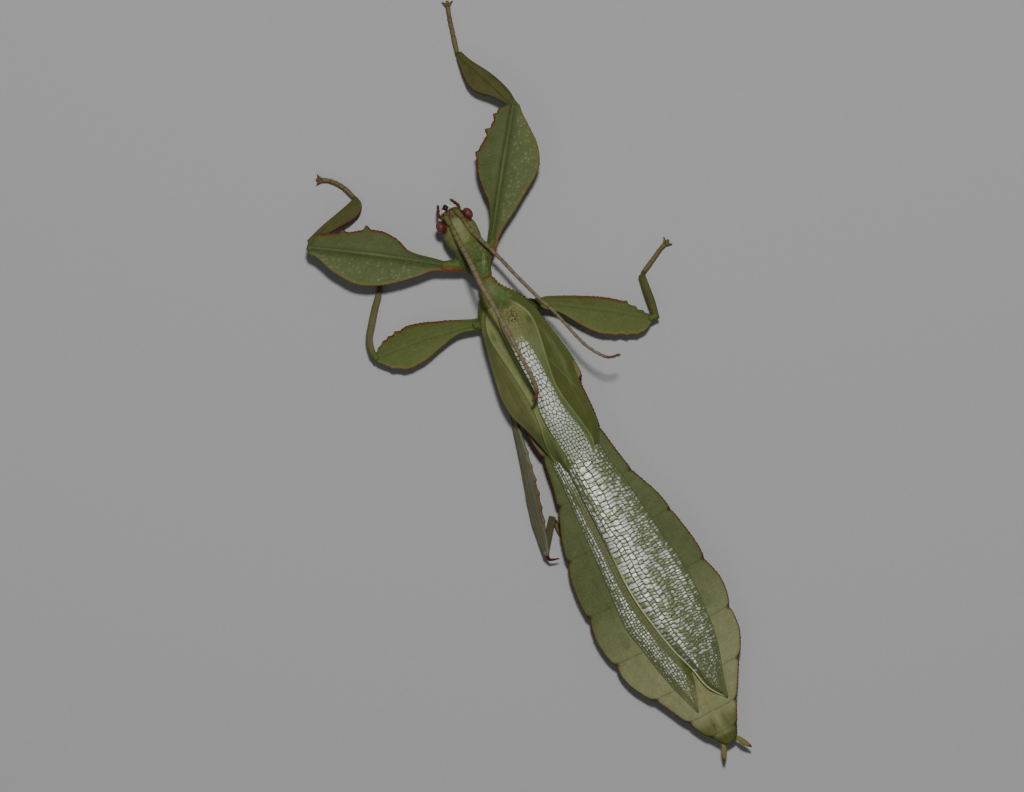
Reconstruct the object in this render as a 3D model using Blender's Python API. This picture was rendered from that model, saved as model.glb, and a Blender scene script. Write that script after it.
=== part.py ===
"""Male leaf insect, life size, still, in the pose of the photograph.

Plan sizes are in millimetres from the midpoint between the eyes: X to the insect's left,
Y from head to tail, Z up from the ground. place() moves them so that the origin is at the
bottom centre of the whole part, in metres.
"""
import math

import bmesh
import bpy
from mathutils import Vector

MM = 0.001
ORIGIN_X = -2.35
ORIGIN_Y = 23.45
GAP = 0.3

# Ridge line of the upper side of the body, (Y, height).
BODY_TOP = [(3.0, 4.0), (6.0, 3.75), (8.0, 3.55), (11.0, 3.6), (14.0, 3.3), (18.0, 3.15),
            (23.5, 3.05), (48.0, 3.0), (60.0, 2.9), (66.0, 2.8), (68.6, 2.5)]
BODY_BOTTOM = [(3.0, 1.6), (8.0, 1.8), (12.0, 1.5), (18.0, 1.5), (24.0, 1.7), (40.0, 1.75),
               (60.0, 1.75), (68.6, 1.7)]
TOP_FALL = 0.008
BOTTOM_RISE = 0.0035

# Half widths of the thorax and abdomen: (Y, left, right).
PRONOTUM = [(3.75, 1.85, 1.85), (4.5, 2.0, 2.0), (5.4, 1.9, 1.9), (6.3, 1.5, 1.5),
            (7.1, 1.2, 1.15), (7.6, 1.05, 1.0)]
MESOTHORAX = [(7.9, 1.0, 1.0), (9.0, 1.35, 1.2), (10.0, 2.0, 1.95), (11.0, 2.7, 2.7),
              (12.0, 3.0, 3.2), (13.35, 3.35, 3.6)]
METATHORAX = [(13.65, 3.4, 3.7), (15.0, 3.75, 3.9), (17.0, 4.15, 4.15), (19.0, 4.5, 4.6),
              (21.0, 4.9, 4.8), (22.5, 4.9, 4.8), (23.35, 4.5, 4.4)]
ABDOMEN = {
    "abdomen_2": [(23.65, 4.3, 4.2), (25.5, 4.2, 4.15), (27.5, 4.1, 4.0), (29.05, 3.8, 3.7)],
    "abdomen_3": [(29.35, 3.85, 3.75), (31.0, 4.15, 4.0), (33.0, 4.5, 4.3), (35.05, 4.9, 4.65)],
    "abdomen_4": [(35.35, 4.95, 4.7), (37.0, 5.75, 5.4), (39.0, 6.5, 6.15), (41.25, 6.95, 6.55)],
    "abdomen_5": [(41.55, 7.05, 6.65), (43.5, 7.65, 7.0), (46.0, 7.95, 7.4), (48.15, 7.85, 7.4)],
    "abdomen_6": [(48.45, 7.85, 7.4), (49.5, 8.1, 7.7), (51.0, 8.3, 8.0), (53.0, 8.1, 7.85),
                  (54.45, 7.6, 7.35)],
    "abdomen_7": [(54.75, 7.55, 7.35), (56.0, 7.6, 7.35), (57.5, 7.2, 7.1), (59.0, 6.4, 6.4),
                  (60.05, 5.6, 5.7)],
    "abdomen_8": [(60.35, 5.3, 5.4), (62.0, 4.5, 4.5), (64.15, 3.4, 3.2)],
    "abdomen_9": [(64.45, 3.2, 3.0), (65.6, 2.7, 2.4), (66.75, 2.0, 1.8)],
    "abdomen_10": [(67.05, 1.6, 1.6), (67.8, 1.2, 1.3), (68.5, 0.75, 0.85)],
}

# Wings: thickness, rise of a main vein above the membrane, half width of that vein.
WING_THICK = 0.45
VEIN_RISE = 0.12
VEIN_HALF = 0.13
LAYER = WING_THICK + VEIN_RISE + GAP

# Edges of the four wings, (Y, X).
TEGMEN_LEFT_OUTER = [(11.0, 2.1), (12.0, 2.8), (13.0, 3.2), (15.0, 3.7), (18.0, 4.35), (21.0, 4.85),
                     (23.3, 4.75), (25.5, 4.0), (27.5, 3.45), (29.0, 3.15), (30.5, 2.9), (31.9, 2.2)]
TEGMEN_LEFT_INNER = [(11.0, 0.35), (16.0, 0.1), (20.0, -0.2), (26.0, -0.4), (30.0, 0.4), (31.9, 1.7)]
TEGMEN_RIGHT_OUTER = [(11.0, -2.1), (12.0, -2.9), (13.0, -3.4), (15.0, -3.85), (18.0, -4.4),
                      (20.5, -4.6), (21.3, -4.4), (22.7, -4.2), (24.5, -4.0), (27.0, -3.9),
                      (29.0, -3.6), (30.5, -2.9), (32.6, -1.2)]
TEGMEN_RIGHT_INNER = [(11.0, -0.1), (12.0, 0.6), (13.0, 0.95), (15.0, 1.1), (18.0, 1.12),
                      (22.0, 1.15), (24.5, 1.65), (28.0, 1.6), (30.5, 1.4), (32.6, -0.5)]
HINDWING_LEFT_OUTER = [(14.8, 2.3), (20.0, 3.2), (26.0, 3.2), (32.0, 3.3), (36.0, 3.5), (39.0, 3.75),
                       (44.0, 4.05), (49.0, 4.5), (51.5, 4.55), (54.0, 4.1), (57.0, 3.6),
                       (60.0, 2.9), (62.5, 2.15), (63.6, 1.8)]
HINDWING_LEFT_INNER = [(14.8, 0.9), (20.0, 0.1), (30.0, -0.3), (45.0, -0.3), (55.0, -0.2),
                       (59.5, 0.2), (62.0, 0.9), (63.6, 1.5)]
HINDWING_RIGHT_OUTER = [(14.8, -2.3), (20.0, -3.1), (26.0, -3.1), (32.0, -2.9), (36.0, -3.6),
                        (40.0, -4.0), (44.0, -4.5), (47.0, -4.9), (50.0, -5.0), (53.0, -4.85),
                        (57.0, -4.3), (60.0, -3.4), (62.0, -2.75), (63.6, -2.35)]
HINDWING_RIGHT_INNER = [(14.8, -0.9), (18.0, 0.4), (24.0, 1.5), (32.0, 1.9), (38.0, 2.0), (43.0, 2.1),
                        (47.0, 2.2), (50.0, 2.0), (53.0, 1.5), (56.0, 0.9), (59.0, 0.0),
                        (61.3, -0.5), (62.6, -1.2), (63.6, -2.05)]
# Main veins as shares of the wing's width from inner to outer edge, (share at root, share at tip).
TEGMEN_VEINS = [(0.30, 0.25), (0.62, 0.50), (0.80, 0.75)]
HINDWING_VEINS = [(0.16, 0.22), (0.36, 0.38), (0.55, 0.55), (0.76, 0.74)]

# Legs. Each femur: knee ends, side widths (distance from its root, width) and teeth
# (distance from its root, height) on its leading and trailing edges.
LEGS = {
    "front_left": {
        "coxa": [(1.3, 5.2, 2.5), (3.35, 4.25, 2.8)],
        "femur": [(3.75, 4.0, 2.9), (9.9, -0.5, 3.2), (16.35, -4.85, 3.3)],
        "leading": [(0.0, 0.6), (0.8, 0.7), (4.0, 1.15), (5.4, 2.15), (7.1, 2.85), (9.0, 2.9),
                    (11.0, 2.4), (13.0, 2.05), (14.5, 1.75), (15.2, 1.0), (15.5, 0.6)],
        "trailing": [(0.0, 0.6), (0.8, 0.75), (2.6, 1.7), (4.8, 2.7), (7.0, 3.4), (9.3, 3.6),
                     (10.8, 3.2), (12.8, 2.2), (14.6, 0.95), (15.5, 0.6)],
        "leading_teeth": [(9.3, 0.6), (12.0, 0.45), (15.0, 0.4)],
        "trailing_teeth": [],
        "tilt": 0.0,
        "tibia": [(15.75, -5.55, 2.75), (12.2, -6.5, 2.0), (9.0, -7.4, 0.95)],
        "tibia_leading": [(0.0, 0.42), (2.2, 0.5), (5.5, 0.35), (7.0, 0.38)],
        "tibia_trailing": [(0.0, 0.42), (1.6, 0.55), (2.8, 0.88), (4.0, 1.22), (5.0, 1.45), (6.0, 1.45),
                           (6.7, 1.1), (7.0, 0.7)],
        "tarsus": [(9.05, -7.75, 0.5), (9.5, -9.2, 0.4), (10.1, -10.25, 0.4), (10.75, -10.95, 0.4),
                   (11.45, -11.4, 0.4)],
    },
    "front_right": {
        "coxa": [(-1.4, 5.35, 2.5), (-2.75, 4.4, 2.8)],
        "femur": [(-3.05, 3.95, 2.9), (-7.6, -2.2, 3.2), (-12.5, -8.6, 3.3)],
        "leading": [(0.0, 0.65), (2.0, 0.72), (4.0, 1.2), (5.6, 2.15), (7.2, 2.95), (8.9, 3.3),
                    (10.0, 3.15), (11.2, 2.7), (12.9, 2.2), (14.4, 1.75), (15.2, 1.2), (15.75, 0.65)],
        "trailing": [(0.0, 0.6), (1.8, 1.25), (3.8, 2.15), (6.2, 3.1), (8.4, 3.9), (9.8, 3.95),
                     (11.6, 3.35), (13.2, 2.3), (14.8, 1.1), (15.75, 0.6)],
        "leading_teeth": [(9.5, 0.3), (12.3, 0.55), (14.2, 0.45), (15.0, 0.35)],
        "trailing_teeth": [],
        "tilt": 0.0,
        "tibia": [(-12.25, -9.1, 2.9), (-11.0, -12.9, 2.2), (-9.6, -16.6, 0.95)],
        "tibia_leading": [(0.0, 0.42), (2.0, 1.2), (3.5, 1.95), (4.5, 2.1), (5.3, 1.9), (7.0, 1.0),
                          (7.9, 0.42)],
        "tibia_trailing": [(0.0, 0.45), (1.0, 0.75), (2.3, 0.85), (4.1, 0.75), (6.4, 0.4), (7.9, 0.42)],
        "tarsus": [(-9.4, -17.0, 0.5), (-9.8, -18.5, 0.4), (-10.2, -19.9, 0.4), (-10.6, -21.3, 0.4),
                   (-11.0, -22.4, 0.4)],
    },
    "middle_left": {
        "coxa": [(1.9, 12.45, 1.9), (3.4, 12.05, 2.2)],
        "femur": [(3.6, 11.95, 2.25), (9.3, 10.7, 2.1), (15.45, 9.95, 1.9)],
        "leading": [(0.0, 0.6), (1.4, 0.9), (4.5, 1.65), (7.4, 2.2), (8.4, 1.95), (9.6, 1.7),
                    (10.6, 1.4), (11.4, 0.95), (12.1, 0.5)],
        "trailing": [(0.0, 0.6), (1.4, 0.5), (2.45, 0.65), (4.5, 1.45), (6.5, 2.25), (7.6, 2.45),
                     (8.6, 2.55), (9.6, 2.3), (10.6, 1.8), (11.6, 1.05), (12.1, 0.55)],
        "leading_teeth": [(9.05, 0.28), (10.0, 0.25), (10.8, 0.25), (11.5, 0.2)],
        "trailing_teeth": [(9.6, 0.15), (10.8, 0.15)],
        "tilt": 0.0,
        "tibia": [(15.55, 9.1, 1.8), (15.15, 7.6, 1.6), (14.0, 6.05, 1.3), (12.9, 4.7, 1.05),
                  (12.0, 3.75, 0.85)],
        "tibia_leading": [(0.0, 0.36), (3.0, 0.42), (6.6, 0.38)],
        "tibia_trailing": [(0.0, 0.36), (3.0, 0.42), (6.6, 0.38)],
        "tarsus": [(11.7, 3.35, 0.45), (10.9, 2.1, 0.4), (10.3, 1.1, 0.4), (9.8, 0.3, 0.4),
                   (9.4, -0.5, 0.4)],
    },
    "middle_right": {
        "coxa": [(-2.2, 12.2, 1.9), (-4.0, 13.05, 2.2)],
        "femur": [(-4.15, 13.2, 2.25), (-9.8, 16.9, 2.1), (-14.85, 20.75, 1.9)],
        "leading": [(0.0, 0.55), (0.8, 0.8), (5.2, 1.35), (8.8, 1.45), (10.4, 1.2), (12.0, 0.65),
                    (13.25, 0.5)],
        "trailing": [(0.0, 0.5), (2.0, 0.7), (2.9, 0.98), (4.6, 1.75), (6.4, 2.45), (7.9, 2.7),
                     (9.0, 2.6), (10.1, 2.4), (11.1, 2.2), (12.1, 1.85), (12.9, 1.25), (13.25, 0.6)],
        "leading_teeth": [(10.15, 0.3), (11.3, 0.25), (12.2, 0.22)],
        "trailing_teeth": [(9.6, 0.18), (10.9, 0.18), (12.1, 0.15)],
        "tilt": 0.0,
        "tibia": [(-15.5, 20.75, 1.75), (-15.8, 19.2, 1.5), (-16.0, 17.7, 1.2), (-16.25, 16.05, 0.85)],
        "tibia_leading": [(0.0, 0.38), (2.4, 0.47), (4.8, 0.4)],
        "tibia_trailing": [(0.0, 0.38), (2.4, 0.47), (4.8, 0.4)],
        "tarsus": [(-16.65, 15.6, 0.45), (-17.7, 15.1, 0.4), (-18.7, 14.6, 0.4), (-19.6, 14.15, 0.4),
                   (-20.4, 13.85, 0.4)],
    },
    "hind_left": {
        "coxa": [(3.0, 21.4, 1.5), (4.25, 22.6, 1.1)],
        "femur": [(4.4, 22.9, 1.0), (5.35, 26.5, 1.7), (6.7, 31.4, 2.0), (8.65, 39.2, 1.9)],
        "leading": [(0.0, 0.5), (3.0, 0.6), (7.0, 0.85), (10.3, 1.1), (13.0, 1.1), (15.6, 0.7),
                    (16.6, 0.5)],
        "trailing": [(0.0, 0.5), (3.0, 0.8), (6.0, 1.1), (8.6, 1.35), (11.0, 1.35), (13.3, 1.2),
                     (15.1, 0.9), (16.6, 0.5)],
        "leading_teeth": [],
        "trailing_teeth": [(5.0, 0.25), (6.6, 0.25), (8.2, 0.3), (9.8, 0.3), (11.4, 0.3), (13.0, 0.25)],
        "tilt": 58.0,
        "spine": [(8.75, 39.3, 1.75), (8.6, 40.0, 1.7), (8.1, 40.25, 1.7), (7.6, 40.4, 1.7)],
        "tibia": [(8.35, 38.7, 1.3), (7.2, 37.2, 0.95), (6.2, 36.0, 0.75)],
        "tibia_leading": [(0.0, 0.36), (1.8, 0.44), (3.4, 0.42)],
        "tibia_trailing": [(0.0, 0.36), (1.8, 0.44), (3.4, 0.42)],
        "tarsus": [(6.0, 36.5, 0.4), (6.1, 37.6, 0.36), (6.0, 38.7, 0.36), (5.8, 39.7, 0.36),
                   (5.5, 40.7, 0.36)],
    },
    "hind_right": {
        "coxa": [(-1.9, 21.4, 1.7), (-2.2, 22.6, 1.2)],
        "femur": [(-2.2, 22.9, 1.05), (-2.8, 31.0, 0.95), (-4.3, 39.2, 0.95)],
        "leading": [(0.0, 0.45), (4.0, 0.5), (8.0, 0.6), (12.0, 0.9), (15.0, 0.6), (16.4, 0.45)],
        "trailing": [(0.0, 0.45), (4.0, 0.9), (8.0, 1.4), (12.0, 1.5), (15.0, 0.8), (16.4, 0.45)],
        "leading_teeth": [],
        "trailing_teeth": [(6.5, 0.2), (8.5, 0.25), (10.5, 0.25), (12.5, 0.2)],
        "tilt": 0.0,
        "tibia": [(-4.2, 39.7, 0.95), (-3.6, 43.4, 0.85), (-3.0, 47.2, 0.7)],
        "tibia_leading": [(0.0, 0.36), (3.8, 0.45), (7.5, 0.38)],
        "tibia_trailing": [(0.0, 0.36), (3.8, 0.45), (7.5, 0.38)],
        "tarsus": [(-2.9, 47.7, 0.4), (-2.75, 48.8, 0.36), (-2.6, 49.9, 0.36), (-2.5, 50.9, 0.36),
                   (-2.3, 51.9, 0.36)],
    },
}
RIB_RADIUS = 0.45
BLADE_EDGE = 0.24
TOOTH_LENGTH = 0.9

# Antennae: centre lines from the face to the tip.
ANTENNA_LEFT = [(0.72, -0.6, 4.55), (0.62, 0.6, 4.95), (0.68, 2.3, 5.35), (0.66, 4.0, 6.0),
                (0.7, 6.2, 7.05), (0.78, 8.1, 8.0), (0.64, 11.2, 9.25), (0.6, 14.7, 9.9),
                (0.58, 18.8, 9.65), (0.62, 21.3, 8.8), (1.0, 22.3, 8.3), (1.75, 22.85, 7.8)]
ANTENNA_RIGHT = [(-0.75, -0.7, 4.5), (-0.95, 0.4, 4.9), (-1.16, 2.0, 5.0), (-1.63, 3.4, 4.85),
                 (-2.16, 5.0, 4.65), (-2.7, 6.7, 4.5), (-3.3, 8.9, 4.5), (-4.0, 11.2, 4.7),
                 (-4.5, 12.8, 5.0), (-5.25, 14.8, 5.4), (-6.05, 17.9, 6.05), (-6.6, 19.8, 6.55),
                 (-7.3, 21.2, 6.95), (-8.3, 22.4, 7.25), (-9.6, 22.75, 7.4)]
ANTENNA_RADII = [0.33, 0.27, 0.26, 0.25, 0.24, 0.23]

# Head: (Y, half width, underside, top).
HEAD = [(-1.4, 0.7, 2.5, 3.3), (-1.2, 1.0, 2.2, 3.75), (-0.9, 1.25, 1.95, 4.1),
        (-0.3, 1.45, 1.8, 4.3), (0.5, 1.75, 1.7, 4.4), (1.3, 2.05, 1.65, 4.45),
        (2.2, 2.05, 1.6, 4.4), (3.0, 1.95, 1.6, 4.25), (3.45, 1.75, 1.75, 4.0)]
EYES = {"eye_left": (1.72, 0.02, 3.35), "eye_right": (-1.82, 0.05, 3.35)}
EYE_RADII = (0.62, 0.72, 0.75)
PALPS = {"palp_left": [(1.2, -0.9, 2.5), (1.5, -1.3, 2.3), (1.2, -1.85, 2.3), (0.88, -2.4, 2.45)],
         "palp_right": [(-1.15, -0.85, 2.5), (-1.25, -1.3, 2.3), (-1.02, -1.85, 2.3),
                        (-0.75, -2.35, 2.45)]}
PALP_RADII = [0.2, 0.22, 0.18, 0.13]
MOUTH = [(-1.7, 0.72, 2.15, 3.0), (-1.9, 0.6, 2.2, 2.9), (-2.05, 0.3, 2.35, 2.75)]
MOUTH_X = 0.1
CERCI = {"cercus_left": [(0.8, 68.35, 2.15), (1.1, 69.1, 2.15), (1.6, 70.1, 2.1)],
         "cercus_right": [(-1.0, 68.45, 2.15), (-1.4, 69.2, 2.15), (-1.9, 70.05, 2.1)]}
CERCUS_RADII = [0.26, 0.34, 0.18]

# Colour (linear red, green, blue) and roughness of each piece, by the start of its name.
FINISHES = {
    "head": ((0.085, 0.11, 0.036), 0.5),
    "mouthparts": ((0.02, 0.008, 0.006), 0.2),
    "eye": ((0.09, 0.012, 0.018), 0.25),
    "palp": ((0.12, 0.02, 0.014), 0.4),
    "antenna": ((0.15, 0.11, 0.055), 0.7),
    "pronotum": ((0.085, 0.12, 0.035), 0.5),
    "mesothorax": ((0.09, 0.12, 0.04), 0.5),
    "metathorax": ((0.075, 0.1, 0.03), 0.5),
    "abdomen": ((0.1, 0.13, 0.045), 0.5),
    "cercus": ((0.25, 0.22, 0.03), 0.45),
    "tegmen": ((0.08, 0.1, 0.025), 0.45),
    "hindwing": ((0.17, 0.2, 0.12), 0.3),
    "coxa": ((0.1, 0.12, 0.035), 0.5),
    "femur": ((0.085, 0.14, 0.045), 0.5),
    "tibia": ((0.075, 0.085, 0.02), 0.5),
    "tarsus": ((0.13, 0.09, 0.03), 0.45),
}


def place(x, y, z):
    """A plan point in millimetres as a point of the part in metres."""
    return Vector(((x - ORIGIN_X) * MM, (y - ORIGIN_Y) * MM, z * MM))


def smooth(rows, where, column=1):
    """Read a table of named sizes along a smooth curve through its rows."""
    if where <= rows[0][0]:
        return rows[0][column]
    last = len(rows) - 1
    for index in range(last):
        low, high = rows[index], rows[index + 1]
        if where > high[0]:
            continue
        before = rows[max(index - 1, 0)]
        after = rows[min(index + 2, last)]
        run = high[0] - low[0]
        rise_low = (high[column] - before[column]) / (high[0] - before[0]) * run
        rise_high = (after[column] - low[column]) / (after[0] - low[0]) * run
        t = (where - low[0]) / run
        return (low[column] * (2 * t**3 - 3 * t**2 + 1) + rise_low * (t**3 - 2 * t**2 + t)
                + high[column] * (3 * t**2 - 2 * t**3) + rise_high * (t**3 - t**2))
    return rows[-1][column]


def step(value):
    """Zero to one along a smooth step."""
    value = min(max(value, 0.0), 1.0)
    return value * value * (3.0 - 2.0 * value)


def body_top(x, y):
    """Height of the upper side of the thorax and abdomen."""
    return smooth(BODY_TOP, y) - TOP_FALL * x * x


def body_bottom(x, y):
    """Height of the underside of the thorax and abdomen."""
    return smooth(BODY_BOTTOM, y) + BOTTOM_RISE * x * x


def finish(name, vertices, faces):
    """Make one closed body from points in plan millimetres."""
    mesh = bpy.data.meshes.new(name)
    mesh.from_pydata([place(*point) for point in vertices], [], faces)
    made = bmesh.new()
    made.from_mesh(mesh)
    bmesh.ops.remove_doubles(made, verts=made.verts, dist=0.000002)
    bmesh.ops.recalc_face_normals(made, faces=made.faces)
    bmesh.ops.triangulate(made, faces=made.faces)
    made.to_mesh(mesh)
    made.free()
    mesh.shade_smooth()
    mesh.set_sharp_from_angle(angle=math.radians(50.0))
    item = bpy.data.objects.new(name, mesh)
    bpy.context.scene.collection.objects.link(item)
    return item


def paint(item):
    """Give a piece its own material."""
    colour, roughness = FINISHES[item.name.split("_")[0]]
    material = bpy.data.materials.new(item.name)
    material.use_nodes = True
    shader = material.node_tree.nodes["Principled BSDF"]
    shader.inputs["Base Color"].default_value = (*colour, 1.0)
    shader.inputs["Roughness"].default_value = roughness
    shader.inputs["Metallic"].default_value = 0.0
    item.data.materials.clear()
    item.data.materials.append(material)


def rings_to_body(name, rings, centres):
    """Join rings of equal count into a tube closed by a fan at each end."""
    count = len(rings[0])
    vertices = [point for ring in rings for point in ring]
    faces = []
    for row in range(len(rings) - 1):
        for side in range(count):
            after = (side + 1) % count
            a, b = row * count + side, row * count + after
            c, d = (row + 1) * count + after, (row + 1) * count + side
            faces.append((a, b, c))
            faces.append((a, c, d))
    for row, centre in ((0, centres[0]), (len(rings) - 1, centres[1])):
        vertices.append(centre)
        hub = len(vertices) - 1
        for side in range(count):
            after = (side + 1) % count
            faces.append((row * count + side, row * count + after, hub))
    return finish(name, vertices, faces)


def curve_point(path, share):
    """A point along a smooth curve through a path, by share of its length."""
    lengths = [0.0]
    for first, second in zip(path, path[1:]):
        lengths.append(lengths[-1] + (Vector(second) - Vector(first)).length)
    where = share * lengths[-1]
    out = []
    for axis in range(3):
        rows = [(length, point[axis]) for length, point in zip(lengths, path)]
        out.append(smooth(rows, where))
    return Vector(out)


def frames(path, shares):
    """Points with side and up directions at the given shares of a path."""
    out = []
    for share in shares:
        ahead = curve_point(path, min(share + 0.02, 1.0))
        behind = curve_point(path, max(share - 0.02, 0.0))
        forward = (ahead - behind).normalized()
        side = Vector((-forward.y, forward.x, 0.0)).normalized()
        up = forward.cross(side).normalized()
        if up.z < 0:
            up = -up
        out.append((curve_point(path, share), forward, side, up))
    return out


def tube(name, path, radii, sides=10, steps=8, flat=None, extend=0.0):
    """A round limb along a path; its thickness runs through the radii, its ends are domed.

    flat is the height under which the tube is pressed flat, for a sole on the ground."""
    rings = []
    shares = [index / steps for index in range(steps + 1)]
    span = [(index / (len(radii) - 1), radius) for index, radius in enumerate(radii)]
    placed = frames(path, shares)
    first = placed[0]
    last = placed[-1]
    stations = [(first[0] - first[1] * (radii[0] * 0.45 + extend), first, radii[0] * 0.6 + extend)]
    for share, row in zip(shares, placed):
        stations.append((row[0], row, smooth(span, share) + extend))
    stations.append((last[0] + last[1] * (radii[-1] * 0.45 + extend), last, radii[-1] * 0.6 + extend))
    for centre, row, radius in stations:
        ring = []
        for index in range(sides):
            angle = 2 * math.pi * (index + 0.5) / sides
            point = centre + row[2] * radius * math.cos(angle) + row[3] * radius * math.sin(angle)
            if flat is not None and point.z < flat:
                point.z = flat
            ring.append(tuple(point))
        rings.append(ring)
    ends = []
    for centre, row, radius in (stations[0], stations[-1]):
        way = -1.0 if centre is stations[0][0] else 1.0
        hub = centre + row[1] * way * radius * 0.25
        if flat is not None and hub.z < flat:
            hub.z = flat
        ends.append(tuple(hub))
    return rings_to_body(name, rings, ends)


def tooth_bump(teeth, where):
    """Extra width of a blade's edge at a distance, from its saw teeth leaning to the knee."""
    extra = 0.0
    for centre, height in teeth:
        before = centre - TOOTH_LENGTH * 0.75
        after = centre + TOOTH_LENGTH * 0.25
        if before < where <= centre:
            extra = max(extra, height * (where - before) / (centre - before))
        elif centre < where < after:
            extra = max(extra, height * (after - where) / (after - centre))
    return extra


def blade(name, path, leading, trailing, leading_teeth, trailing_teeth, tilt, rib, lead_sign, steps):
    """A leaf-like limb: a round rib along the path between two thin lobes with toothed edges."""
    length = sum((Vector(b) - Vector(a)).length for a, b in zip(path, path[1:]))
    marks = [length * index / steps for index in range(steps + 1)]
    for centre, _height in leading_teeth + trailing_teeth:
        marks += [centre - TOOTH_LENGTH * 0.75, centre, centre + TOOTH_LENGTH * 0.25]
    marks = sorted(mark for mark in marks if 0.0 <= mark <= length)
    kept = [marks[0]]
    for mark in marks[1:]:
        if mark - kept[-1] > 0.12:
            kept.append(mark)
    kept[-1] = length
    shares = [mark / length for mark in kept]
    scale = leading[-1][0] / length
    rings = []
    placed = frames(path, shares)
    turn = math.radians(tilt)
    for mark, row in zip(kept, placed):
        centre, forward, side, up = row
        side = side * lead_sign
        across = side * math.cos(turn) - up * math.sin(turn)
        normal = up * math.cos(turn) + side * math.sin(turn)
        lead = smooth(leading, mark * scale) + tooth_bump(leading_teeth, mark)
        trail = smooth(trailing, mark * scale) + tooth_bump(trailing_teeth, mark)
        lead = max(lead, rib * 1.02)
        trail = max(trail, rib * 1.02)
        ring = []
        columns = [(lead, BLADE_EDGE), ((lead + rib) / 2, BLADE_EDGE), (rib * 0.75, rib * 0.62),
                   (0.0, rib), (-rib * 0.75, rib * 0.62), (-(trail + rib) / 2, BLADE_EDGE),
                   (-trail, BLADE_EDGE)]
        for offset, half in columns:
            ring.append(tuple(centre + across * offset + normal * half))
        for offset, half in reversed(columns):
            ring.append(tuple(centre + across * offset - normal * half))
        rings.append(ring)
    first, last = placed[0], placed[-1]
    return rings_to_body(name, rings, (tuple(first[0] - first[1] * rib * 0.3),
                                       tuple(last[0] + last[1] * rib * 0.3)))


def slab(name, rows, shares, edge_round, keel=0.0, steps=None):
    """A flat length of body between two faces across it, from its half widths."""
    ys = []
    if steps is None:
        ys = [row[0] for row in rows]
    else:
        for index in range(steps + 1):
            ys.append(rows[0][0] + (rows[-1][0] - rows[0][0]) * index / steps)
    top, bottom = [], []
    for y in ys:
        left, right = smooth(rows, y, 1), smooth(rows, y, 2)
        top_row, bottom_row = [], []
        for share in shares:
            x = share * (left if share > 0 else right)
            round_off = edge_round * abs(share) ** 5
            high = body_top(x, y) - round_off
            low = body_bottom(x, y) + round_off
            if share == 0.0:
                high += keel
            if high - low < 0.45:
                middle = (high + low) / 2
                high, low = middle + 0.225, middle - 0.225
            top_row.append((x, y, high))
            bottom_row.append((x, y, low))
        top.append(top_row)
        bottom.append(bottom_row)
    return sheet(name, top, bottom)


def sheet(name, top, bottom):
    """Close two grids of points into a plate that is split into triangles alike on both faces."""
    rows, columns = len(top), len(top[0])
    vertices = [point for row in top for point in row] + [point for row in bottom for point in row]
    under = rows * columns
    faces = []
    for row in range(rows - 1):
        for column in range(columns - 1):
            a = row * columns + column
            b, c, d = a + 1, a + columns + 1, a + columns
            if (column < (columns - 1) / 2) == (row % 2 == 0):
                halves = ((a, b, c), (a, c, d))
            else:
                halves = ((a, b, d), (b, c, d))
            for half in halves:
                faces.append(half)
                faces.append(tuple(index + under for index in reversed(half)))
    border = [column for column in range(columns)]
    border += [row * columns + columns - 1 for row in range(1, rows)]
    border += [(rows - 1) * columns + column for column in range(columns - 2, -1, -1)]
    border += [row * columns for row in range(rows - 2, 0, -1)]
    for index, first in enumerate(border):
        second = border[(index + 1) % len(border)]
        faces.append((first, second, second + under))
        faces.append((first, second + under, first + under))
    return finish(name, vertices, faces)


def left_share(x):
    """One where the left hind wing lies beneath, falling to zero on the right side."""
    return step((x + 3.4) / 2.9)


def right_share(x):
    """One where the right hind wing lies beneath, falling to zero at the left margin."""
    return step((4.2 - x) / 1.7)


def root_share(y):
    """Zero at the roots of the fore wings and one where the hind wings lie beneath them."""
    return step((y - 11.2) / 3.2)


def hindwing_left_low(x, y):
    return body_top(x, y) + GAP


def hindwing_right_low(x, y):
    return body_top(x, y) + GAP + LAYER * left_share(x)


def tegmen_left_low(x, y):
    return body_top(x, y) + GAP + LAYER * root_share(y) * (1.0 + right_share(x))


def tegmen_right_low(x, y):
    beneath = LAYER * root_share(y) * (1.0 + left_share(x))
    return body_top(x, y) + GAP + beneath + LAYER * left_share(x) * step((y - 10.6) / 1.5)


def wing(name, inner, outer, veins, low, steps):
    """A wing lying flat: a thin membrane with its main veins raised in its own upper surface."""
    first, last = inner[0][0], inner[-1][0]
    top, bottom = [], []
    for index in range(steps + 1):
        share = index / steps
        y = first + (last - first) * (share - 0.35 * math.sin(2 * math.pi * share) / (2 * math.pi))
        a, b = smooth(inner, y), smooth(outer, y)
        width = abs(b - a)
        half = min(VEIN_HALF / width, 0.035)
        columns = [(0.0, 0.0)]
        for root, tip in veins:
            centre = root + (tip - root) * share
            columns += [(centre - half, 0.0), (centre, VEIN_RISE), (centre + half, 0.0)]
        columns.append((1.0, 0.0))
        top_row, bottom_row = [], []
        for place_share, rise in columns:
            x = a + (b - a) * place_share
            height = low(x, y)
            bottom_row.append((x, y, height))
            top_row.append((x, y, height + WING_THICK + rise))
        top.append(top_row)
        bottom.append(bottom_row)
    return sheet(name, top, bottom)


def ball(name, centre, radii, around=16, up=10):
    """An ellipsoid."""
    rings = []
    for row in range(1, up):
        angle = math.pi * row / up
        ring = []
        for side in range(around):
            turn = 2 * math.pi * side / around
            ring.append((centre[0] + radii[0] * math.sin(angle) * math.cos(turn),
                         centre[1] + radii[1] * math.sin(angle) * math.sin(turn),
                         centre[2] - radii[2] * math.cos(angle)))
        rings.append(ring)
    ends = ((centre[0], centre[1], centre[2] - radii[2]), (centre[0], centre[1], centre[2] + radii[2]))
    return rings_to_body(name, rings, ends)


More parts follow.
